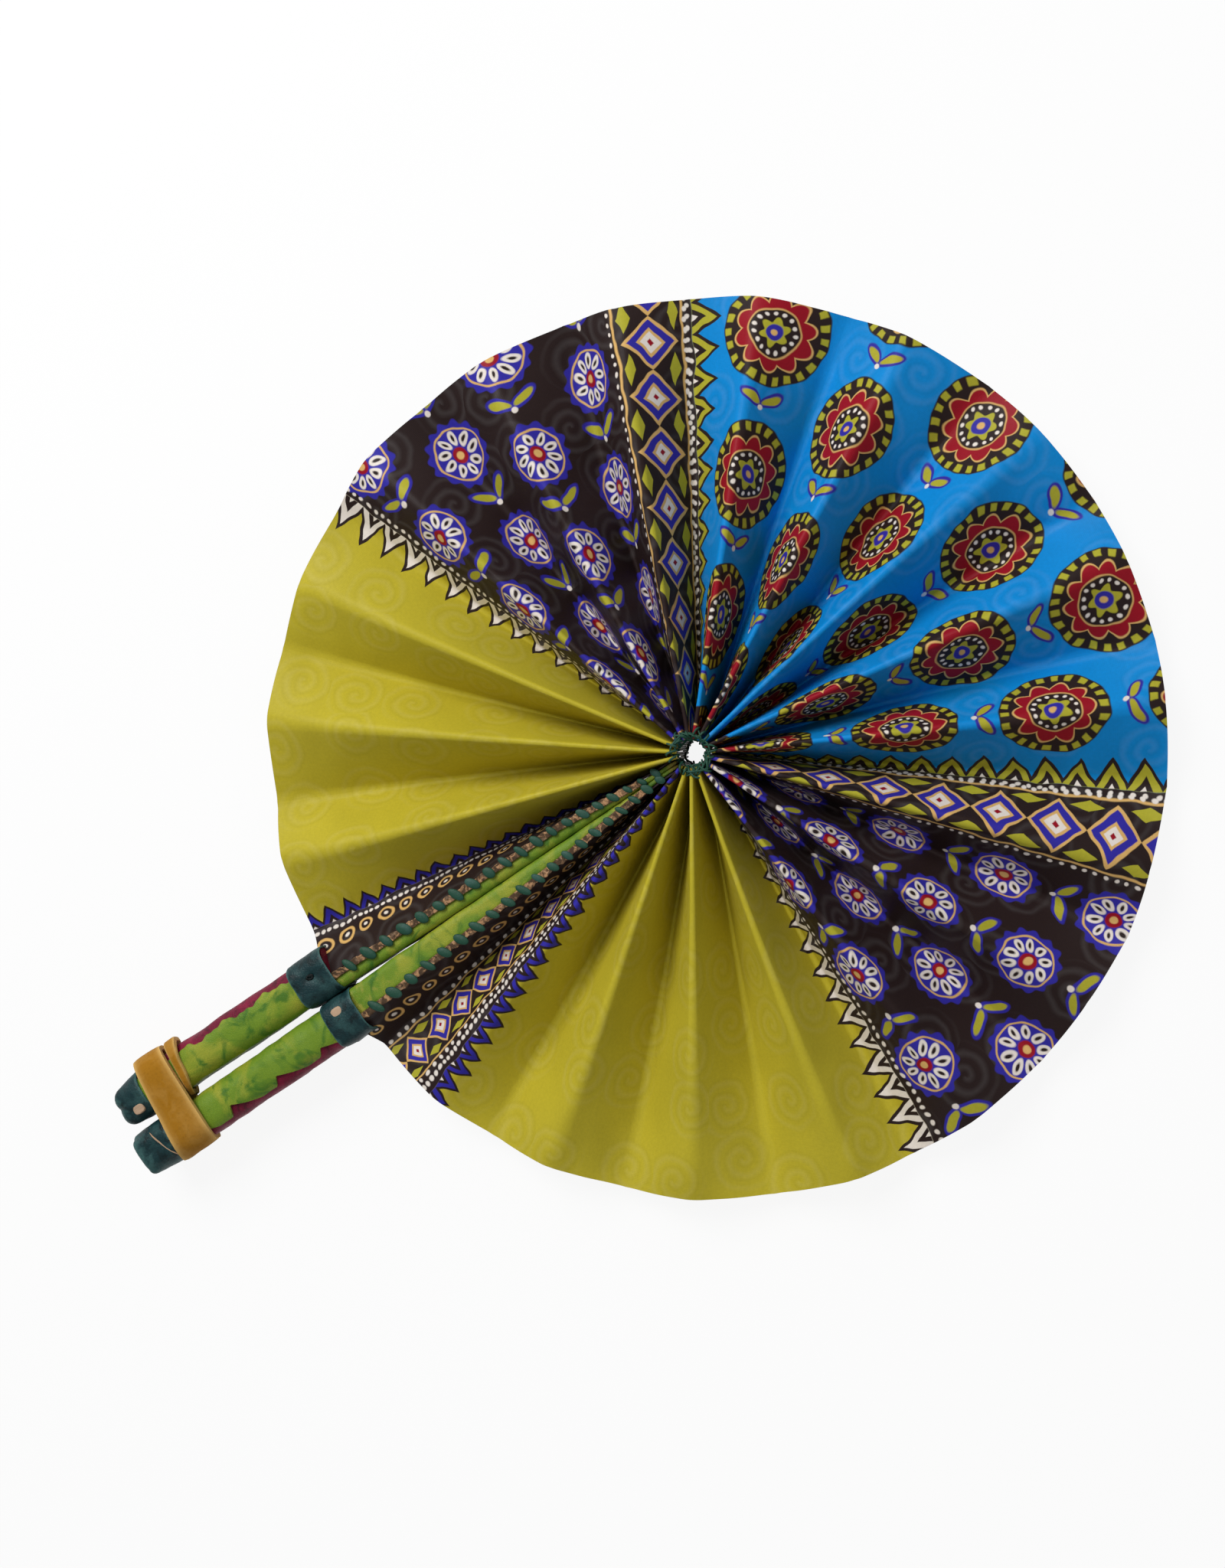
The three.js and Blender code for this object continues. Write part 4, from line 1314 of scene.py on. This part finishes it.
def cap_piece(side, leather):
    """The teal cap on the end of a grip, creased where it is folded in."""
    end = CAP_END[side]
    rounding = CAP_ROUNDING[side]
    straight = np.linspace(CAP_START + 0.6, end - rounding, 12)
    folded = end - rounding * (1 - np.sin(np.linspace(0, 1, 9)[1:] * np.pi / 2))
    inside = [(end - 1.3, BAND_WALL + 2.2), (end - 2.6, BAND_WALL + 0.4), (CAP_START + 0.1, BAND_WALL)]
    outside = [(float(distance), 0.0) for distance in (*straight, *folded)]
    stations = [*inside, (CAP_START, 0.35), *outside, (end - 0.1, 1.2), (end - 0.6, 2.4)]
    distances = np.array([distance for distance, _ in stations])
    rings = [section_ring(distance, *cap_section(distance, side, by)) for distance, by in stations]
    rings = puckered(rings, "cap", side)
    out = drawn_out(rings, rings.mean(axis=1, keepdims=True))
    turn = np.arctan2(out[..., 2], out[..., 0])
    crease = (1 - np.abs(np.sin(CAP_FOLDS / 2 * turn + 0.5 * side))) ** 3
    along = np.clip((distances - CAP_START) / (end - CAP_START), 0, 1)
    along[: len(inside) + 1] = 0
    rings -= out * (CAP_FOLD_DEPTH * along[:, None] ** 2 * crease)[..., None]
    wear = np.interp(distances, (CAP_START, CAP_START + 1, CAP_START + 7, end), (1.0, 0.4, 0.3, 0.8))
    leather_piece(side, "cap", "teal", leather, loft(rings), "cap", on_rings(wear, rings), sharp=75)


# The lap on the right cap: its two ends across the cap, and from the hub
LAP_ACROSS = (2.6, 14.6)
LAP_ALONG = (CAP_START + 6.4, CAP_START + 1.6)


def cap_edge(leather):
    """The pale cut edge where the right cap's leather laps over itself."""
    across = np.linspace(*LAP_ACROSS, 22)
    distance = np.interp(across, LAP_ACROSS, LAP_ALONG)
    sections = [cap_section(float(d), RIGHT) for d in distance]
    height = [float(section_height(section, x)) for section, x in zip(sections, across)]
    path = np.stack([across, -distance, height], 1)
    body = tube(path, 0.34 - 0.2 * np.abs(np.linspace(-1, 1, len(path))) ** 3)
    tan = leather_material("tan", leather)
    stick_piece(RIGHT, "cap_edge", body, tan, "tan_leather", wear=1.0, sharp=80)


# Half sizes of a peg, how far it stands out, and its rings by height and share of its size
PEG_WIDE = 1.7
PEG_LONG = 2.2
PEG_OUT = 0.55
PEG_RINGS = ((-2.0, 1.0), (-0.35, 1.0), (-0.08, 0.93), (0.05, 0.75), (0.1, 0.35))


def peg_piece(side, place, node, leather):
    """The end of a tan peg that stands out of the leather."""
    across, distance = place
    top = float(section_height(BAND, across)) + PEG_OUT
    angles = np.linspace(0, 2 * np.pi, 20, endpoint=False)
    square = (np.abs(np.cos(angles)) ** 3 + np.abs(np.sin(angles)) ** 3) ** (-1 / 3)
    rings = []
    for height, size in PEG_RINGS:
        x = across + PEG_WIDE * size * square * np.cos(angles)
        y = -distance + PEG_LONG * size * square * np.sin(angles)
        rings.append(np.stack([x, y, np.full_like(x, top + height)], 1))
    wood = wood_material("whittled_wood", leather.wood)
    stick_piece(side, f"{node}_wood", loft(rings), wood, "peg_wood", node)


CORE_INSET = 1.3
CORE_START = 42.0


def core_piece(side, leather):
    """The wooden stick inside the leather: a thin blade in the spine and a thick bar in the grip."""
    rings = []
    for distance in np.linspace(CORE_START, GRIP_START - 1, 12):
        blade = (0.25, float(spine_face(distance, side)), SPINE_HALF, 1.3)
        rings.append(section_ring(distance, *inset(blade, CORE_INSET)))
    for distance in (GRIP_START + 2, WRAP_END + 3):
        rings.append(section_ring(distance, *inset(WRAP, 2 * CORE_INSET)))
    wood = wood_material("split_wood", darker(leather.wood, 0.8))
    stick_piece(side, "core_wood", loft(rings), wood, "stick_wood", "core")


# Stitches


def stitch_nodes(thread):
    """Geometry nodes that lay a slanted stitch at each point of a seam, in the size that it asks for."""
    sockets = {"Seam": "Geometry", "Size": "Vector", "Slant": "Float", "Seed": "Int"}
    tree, inside, result = new_group("seam_stitches", sockets, {"Stitches": "Geometry"}, "Geometry")

    def add(kind, inputs, output=0, **settings):
        return add_node(tree, kind, inputs, **settings).outputs[output]

    points = add("GeometryNodeMeshToPoints", {"Mesh": inside["Seam"]})
    bead = add("GeometryNodeMeshUVSphere", {"Segments": 14, "Rings": 10, "Radius": 0.5})
    shaped = add("GeometryNodeTransform", {"Geometry": bead, "Scale": inside["Size"]})
    chance = {"Min": (0.85, 0.8, 0.9), "Max": (1.15, 1.2, 1.1), "Seed": inside["Seed"]}
    sizes = add("FunctionNodeRandomValue", chance, data_type="FLOAT_VECTOR")
    asked = add("GeometryNodeInputNamedAttribute", {"Name": "stitch_size"}, "Attribute", data_type="FLOAT")
    scaled = add("ShaderNodeVectorMath", {0: sizes, "Scale": asked}, operation="SCALE")
    chance = {2: -0.16, 3: 0.16, "Seed": inside["Seed"]}
    lean = add("FunctionNodeRandomValue", chance, 1, data_type="FLOAT")
    slant = add("ShaderNodeMath", {0: inside["Slant"], 1: lean})
    turned = add("ShaderNodeCombineXYZ", {"Z": slant})
    laying = {"Points": points, "Instance": shaped, "Rotation": turned, "Scale": scaled}
    laid = add("GeometryNodeInstanceOnPoints", laying)
    real = add("GeometryNodeRealizeInstances", {"Geometry": laid})
    smooth = add("GeometryNodeSetShadeSmooth", {"Geometry": real})
    dyed = add("GeometryNodeSetMaterial", {"Geometry": smooth, "Material": thread})
    feed(tree, dyed, result["Stitches"])
    return tree


STITCH_START = 14.0
STITCH_SHARE_AT_HUB = 0.6
STITCH_SLANT = math.radians(34)
STITCH_INSIDE = 0.4
STITCH_RISE = 0.95
STITCH_SEED = 60


def stitch_places(side, leather):
    """Distances from the hub of the stitches, and their sizes, both growing towards the rim."""
    places, sizes = [], []
    distance = STITCH_START
    while distance < COLLAR_SPAN[side][0] - 2:
        size = STITCH_SHARE_AT_HUB + (1 - STITCH_SHARE_AT_HUB) * distance / LEAF_RADIUS
        places.append(distance)
        sizes.append(size)
        distance += size * leather.stitch_pitch / MM
    return np.array(places), np.array(sizes)


def stitch_piece(side, leather):
    """The stitches along one stick's seam, as a plain mesh."""
    name = SIDE_NAMES[side]
    distances, sizes = stitch_places(side, leather)
    face = np.maximum(spine_face(distances, side) - STITCH_INSIDE, SPINE_LEAST)
    seam = np.stack([face, -distances, np.full_like(distances, SPINE_HALF + STITCH_RISE)], 1)
    seam = on_stick(seam, side) * MM + np.array(HUB)
    mesh = bpy.data.meshes.new(f"{name}_seam")
    mesh.from_pydata(seam.tolist(), [], [])
    write_mark(mesh, "stitch_size", sizes)
    piece = add_object(f"{name}_stitches", mesh)
    tree = bpy.data.node_groups.get("seam_stitches") or stitch_nodes(thread_material(leather))
    modifier = piece.modifiers.new("stitches", "NODES")
    modifier.node_group = tree
    size = (leather.stitch_length, leather.stitch_width, leather.stitch_height)
    values = {"Size": size, "Slant": STITCH_SLANT, "Seed": STITCH_SEED + side}
    for label, value in values.items():
        modifier[tree.interface.items_tree[label].identifier] = value
    evaluated = piece.evaluated_get(bpy.context.evaluated_depsgraph_get())
    plain = bpy.data.meshes.new_from_object(evaluated)
    piece.modifiers.remove(modifier)
    piece.data = plain
    settle(piece, f"{name}_stick", "green_thread", f"{name}_lacing")
    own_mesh(piece)


# Loops of the gathering thread: how far out of the pleats' ends each lies, and how far above their ridges
THREAD_LOOPS = ((-0.1, -2.6), (0.3, -1.3), (0.8, -0.3), (1.5, 0.3))
THREAD_RADIUS = 0.33
THREAD_SEED = 71
STRAND_SEED = 80
STITCH_RADIUS = 0.38
CROSSING_RADIUS = 0.3
SEAM_AZIMUTH = 1.5 * np.pi
SEAM_DIP = 6.0
SEAM_DIP_WIDTH = 0.4
SEAM_KEEP_OFF = 0.88
UNDERSIDE_DROP = 1.6

# A strand that crosses the loops: shares of its reach and its turn, and heights above the ridges
CROSSING = ((-0.3, 0.0, -1.6), (0.3, 0.3, 0.3), (0.6, 0.6, 0.6), (1.0, 1.0, -0.2), (1.1, 1.1, -1.8))


def thread_loops(face, angles, lines):
    """A length of each loop on one face of the fan, which dips under the tips of the spines."""
    from_seam = np.remainder(angles - SEAM_AZIMUTH + np.pi, 2 * np.pi) - np.pi
    dip = SEAM_DIP * np.exp(-((from_seam / SEAM_DIP_WIDTH) ** 2)) + (UNDERSIDE_DROP if face < 0 else 0)
    loops = []
    for loop, (out, height) in enumerate(THREAD_LOOPS):
        shift = np.random.default_rng((THREAD_SEED + face, loop)).uniform(0, 2 * np.pi, 4)
        a, b, c, d = (turns * angles + part for turns, part in zip((2, 5, 3, 7), shift))
        reach = lines.inner + out + 0.45 * np.sin(a) + 0.3 * np.sin(b)
        rise = lines.width / 2 + height + 0.4 * np.sin(c) + 0.3 * np.sin(d)
        loops.append(tube(polar(reach, angles, face * (rise - dip)), THREAD_RADIUS))
    return loops


def thread_strand(knots, lines, radius):
    """A strand through knots: each has a distance out of the pleats' ends, an azimuth and a height."""
    out, azimuth, height = np.array(knots).T
    path = smooth_path(polar(lines.inner + out, azimuth, height), 6)
    return tube(path, np.linspace(radius + 0.04, radius - 0.04, len(path)))


def thread_piece(name, strands, leather):
    points, faces = joined(strands)
    return add_piece(name, points, faces, thread_material(leather), sharp=80)


def hub_threads(face, lines, leather):
    """The loops of thread on one face of the fan where they pass the spines."""
    seam = np.linspace(lines.azimuth[-1], lines.azimuth[0] + 2 * np.pi, 12)
    name = "top" if face > 0 else "bottom"
    piece = thread_piece(f"hub_thread_{name}", thread_loops(face, seam, lines), leather)
    settle(piece, "left_stick", "green_thread", f"gather_thread_{name}")
    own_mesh(piece)


def hub_stitch(number, lines, leather):
    """The thread on one pleat: a stitch over its ridge, the loops beside it, and crossing strands."""
    draw = np.random.default_rng(STRAND_SEED + number)
    ridge = lines.ridge(number)
    top = lines.width / 2
    lean = draw.uniform(-0.3, 0.3)
    reach = draw.uniform(2.2, 3.8)
    stitch = (
        (-0.4, -1.0, -2.2),
        (0.6, -0.5, 0.0),
        (0.5 * reach, 0.0, 0.6),
        (reach - 0.6, 0.5, 0.5),
        (reach, 1.0, 0.0),
        (reach + 0.2, 1.2, -2.2),
    )
    knots = [(out, ridge + lean * turn, top + height) for out, turn, height in stitch]
    strands = [thread_strand(knots, lines, STITCH_RADIUS)]
    angles = np.linspace(ridge - lines.step, ridge + lines.step, 9)
    for face in (1, -1):
        strands += thread_loops(face, angles, lines)
        begin = ridge + draw.uniform(-lines.step, lines.step)
        turn = draw.uniform(0.4, 1.0) * draw.choice((-1, 1))
        reach = draw.uniform(1.6, 3.0)
        level = top if face > 0 else top - UNDERSIDE_DROP
        if math.cos(begin + turn / 2 - SEAM_AZIMUTH) < SEAM_KEEP_OFF:
            knots = [
                (out * reach, begin + turn * part, face * (level + height)) for out, part, height in CROSSING
            ]
            strands.append(thread_strand(knots, lines, CROSSING_RADIUS))
    name = pleat_name(number)
    piece = thread_piece(f"{name}_stitch", strands, leather)
    settle(piece, name, "green_thread")
    press_pleat(piece, number, lines)


# Strap

STRAP_WIDTH = 14.5
STRAP_SLUMP = 9.0
STRAP_THICKNESS = 1.9
STRAP_EDGE_ROUNDING = 0.16
KEEPER_SECTION = (-20.2, 0.9, 12.0, 7.5)


def strap_band(number, name, section, edges, leather):
    """A closed suede band, pale on its cut edges, whose two distances from the hub vary across it."""
    outer = section_ring(0, *section)
    inner = section_ring(0, *inset(section, STRAP_THICKNESS))
    slump = STRAP_SLUMP * (1 - outer[:, 2] / section[2]) / 2
    near, far = (edge + slump for edge in edges(outer[:, 0]))
    rings, cut = [], []
    for ring, places in ((outer, np.linspace(0, 1, 9)), (inner, np.linspace(1, 0, 5))):
        for place in places:
            edge = abs(2 * place - 1) ** 6
            body = ring + (inner - ring) * STRAP_EDGE_ROUNDING * edge
            body[:, 1] = -(near + (far - near) * place)
            rings.append(body)
            cut.append(edge if ring is outer else 0.8)
    points, faces = loft(puckered(rings, "strap", number), looped=True)
    marks = {"cut": on_rings(cut, rings)}
    return add_piece(name, points, faces, suede_material(leather), sharp=60, marks=marks)


def strap_pieces(leather):
    """The suede loop round both sticks and its second strand round the left one."""

    def loop_edges(across):
        return np.full_like(across, STRAP_END - STRAP_WIDTH), STRAP_END - 0.9 + 0.09 * across

    def keeper_edges(across):
        end = STRAP_END - STRAP_WIDTH - 0.3 + 0.08 * np.minimum(across, 0)
        bow = np.where(across < -10, 0.02, -0.008) * (across + 10) ** 2
        return end - 2.7 - bow, end

    loop = strap_band(0, "strap_loop_suede", STRAP_OUTER, loop_edges, leather)
    settle(loop, "strap", "tan_suede", "strap_loop")
    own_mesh(loop)
    keeper = strap_band(1, "strap_keeper_suede", KEEPER_SECTION, keeper_edges, leather)
    settle(keeper, "strap", "tan_suede", "strap_keeper")


# Operators


class FanOperator:
    """What every builder of the fan shares"""

    bl_options = {"REGISTER", "UNDO"}

    def execute(self, context):
        self.build(context.scene)
        return {"FINISHED"}


class OBJECT_OT_fan_leaf(FanOperator, bpy.types.Operator):
    """Builds the pleated leaf from printed cotton"""

    bl_idname = "object.fan_leaf"
    bl_label = "Leaf"

    def build(self, scene):
        lines = FoldLines(scene.fan_leaf)
        cotton = cotton_material(scene.fan_print)
        for number in range(PLEAT_COUNT):
            pleat_piece(number, lines, scene.fan_leaf, cotton)
        for side in (RIGHT, LEFT):
            end_panel_piece(side, lines, scene.fan_leaf, cotton)


class OBJECT_OT_fan_hub(FanOperator, bpy.types.Operator):
    """Builds the thread that gathers the pleats at the hub"""

    bl_idname = "object.fan_hub"
    bl_label = "Gathering Thread"

    def build(self, scene):
        lines = FoldLines(scene.fan_leaf)
        for face in (1, -1):
            hub_threads(face, lines, scene.fan_leather)
        for number in range(PLEAT_COUNT):
            hub_stitch(number, lines, scene.fan_leather)


class OBJECT_OT_fan_spines(FanOperator, bpy.types.Operator):
    """Builds the leather sleeves, the welts and the stitches along the leaf's ends"""

    bl_idname = "object.fan_spines"
    bl_label = "Spines and Stitches"

    def build(self, scene):
        for side in (RIGHT, LEFT):
            spine_pieces(side, scene.fan_leather)
            stitch_piece(side, scene.fan_leather)


class OBJECT_OT_fan_grips(FanOperator, bpy.types.Operator):
    """Builds the grips with their collars, caps and pegs"""

    bl_idname = "object.fan_grips"
    bl_label = "Grips"

    def build(self, scene):
        leather = scene.fan_leather
        for side in (RIGHT, LEFT):
            grip_pieces(side, leather)
            collar_piece(side, leather)
            cap_piece(side, leather)
        peg_piece(RIGHT, COLLAR_PEG, "collar_peg", leather)
        peg_piece(LEFT, CAP_PEG, "cap_peg", leather)
        collar_knot(leather)
        cap_edge(leather)


class OBJECT_OT_fan_strap(FanOperator, bpy.types.Operator):
    """Builds the suede strap"""

    bl_idname = "object.fan_strap"
    bl_label = "Strap"

    def build(self, scene):
        strap_pieces(scene.fan_leather)


class OBJECT_OT_fan_cores(FanOperator, bpy.types.Operator):
    """Builds the wooden cores inside the sticks"""

    bl_idname = "object.fan_cores"
    bl_label = "Cores"

    def build(self, scene):
        for side in (RIGHT, LEFT):
            core_piece(side, scene.fan_leather)


class OBJECT_OT_fan_stage(FanOperator, bpy.types.Operator):
    """Sets the floor, the light and the camera"""

    bl_idname = "object.fan_stage"
    bl_label = "Stage"

    def build(self, scene):
        stage = scene.fan_stage
        scene.view_settings.view_transform = "Standard"
        floor_piece(stage)
        daylight(scene, stage)
        lamp("key_light", *KEY_LAMP, stage.key)
        lamp("fill_light", *FILL_LAMP, stage.fill)
        scene.camera = camera_object(stage)


# Lamps: place and width in metres
KEY_LAMP = ((-0.87, 0.04, 0.97), 0.7)
FILL_LAMP = ((0.9, 0.7, 1.3), 1.4)


def camera_object(stage):
    """The camera, where the photograph was taken from."""
    camera = add_object("camera", bpy.data.cameras.new("camera"))
    back = -Vector(stage.camera_view).normalized()
    aside = Vector(stage.camera_up).cross(back).normalized()
    turned = Matrix((aside, back.cross(aside), back)).transposed().to_4x4()
    camera.matrix_world = Matrix.Translation(HUB + Vector(stage.camera_place)) @ turned
    camera.data.lens = stage.lens
    camera.data.sensor_width = 36
    camera.data.clip_start = 0.01
    return camera


def floor_piece(stage):
    """A white floor that shows a faint shadow."""
    mesh = bpy.data.meshes.new("floor")
    mesh.from_pydata([(-4, -4, 0), (4, -4, 0), (4, 4, 0), (-4, 4, 0)], [], [(0, 1, 2, 3)])
    paper = Dressing("floor", 0.9)
    paper.write({"Base Color": stage.floor, "Specular IOR Level": 0})
    tree = paper.tree
    ray = add_node(tree, "ShaderNodeLightPath").outputs
    seen = Field(tree, ray["Is Camera Ray"]).either(ray["Is Glossy Ray"])
    glow = add_node(tree, "ShaderNodeEmission").outputs[0]
    blend = add_node(tree, "ShaderNodeMixShader", {0: seen * 0.9, 1: paper.shader.outputs[0], 2: glow})
    feed(tree, blend.outputs[0], tree.nodes["Material Output"].inputs["Surface"])
    mesh.materials.append(paper.material)
    return add_object("floor", mesh)


def daylight(scene, stage):
    """Even white light from all round."""
    world = bpy.data.worlds.new("daylight")
    world.use_nodes = True
    background = world.node_tree.nodes["Background"]
    background.inputs["Color"].default_value = (1, 1, 1, 1)
    background.inputs["Strength"].default_value = stage.ambient
    scene.world = world


def lamp(name, place, size, power):
    """A soft square lamp that shines at the hub."""
    light = bpy.data.lights.new(name, "AREA")
    light.energy = power
    light.size = size
    shining = add_object(name, light)
    shining.location = place
    shining.rotation_euler = (HUB - Vector(place)).to_track_quat("-Z", "Y").to_euler()


BUILDERS = (
    OBJECT_OT_fan_leaf,
    OBJECT_OT_fan_hub,
    OBJECT_OT_fan_spines,
    OBJECT_OT_fan_grips,
    OBJECT_OT_fan_strap,
    OBJECT_OT_fan_cores,
    OBJECT_OT_fan_stage,
)


class VIEW3D_PT_hand_fan(bpy.types.Panel):
    """Sidebar panel of the hand fan"""

    bl_label = "Hand Fan"
    bl_idname = "VIEW3D_PT_hand_fan"
    bl_space_type = "VIEW_3D"
    bl_region_type = "UI"
    bl_category = "Hand Fan"

    def draw(self, context):
        for builder in BUILDERS:
            self.layout.operator(builder.bl_idname)
        for name in SETTINGS:
            box = self.layout.box()
            settings = getattr(context.scene, name)
            for field in settings.__annotations__:
                box.prop(settings, field)


SETTINGS = {
    "fan_leaf": FanLeafSettings,
    "fan_print": FanPrintSettings,
    "fan_leather": FanLeatherSettings,
    "fan_stage": FanStageSettings,
}
CLASSES = (*SETTINGS.values(), *BUILDERS, VIEW3D_PT_hand_fan)


def register():
    for cls in CLASSES:
        bpy.utils.register_class(cls)
    for name, group in SETTINGS.items():
        setattr(bpy.types.Scene, name, PointerProperty(type=group))


def unregister():
    for name in SETTINGS:
        delattr(bpy.types.Scene, name)
    for cls in reversed(CLASSES):
        bpy.utils.unregister_class(cls)


def main():
    register()
    bpy.ops.object.fan_leaf()
    bpy.ops.object.fan_hub()
    bpy.ops.object.fan_spines()
    bpy.ops.object.fan_grips()
    bpy.ops.object.fan_strap()
    bpy.ops.object.fan_cores()
    bpy.ops.object.fan_stage()


if __name__ == "__main__":
    main()
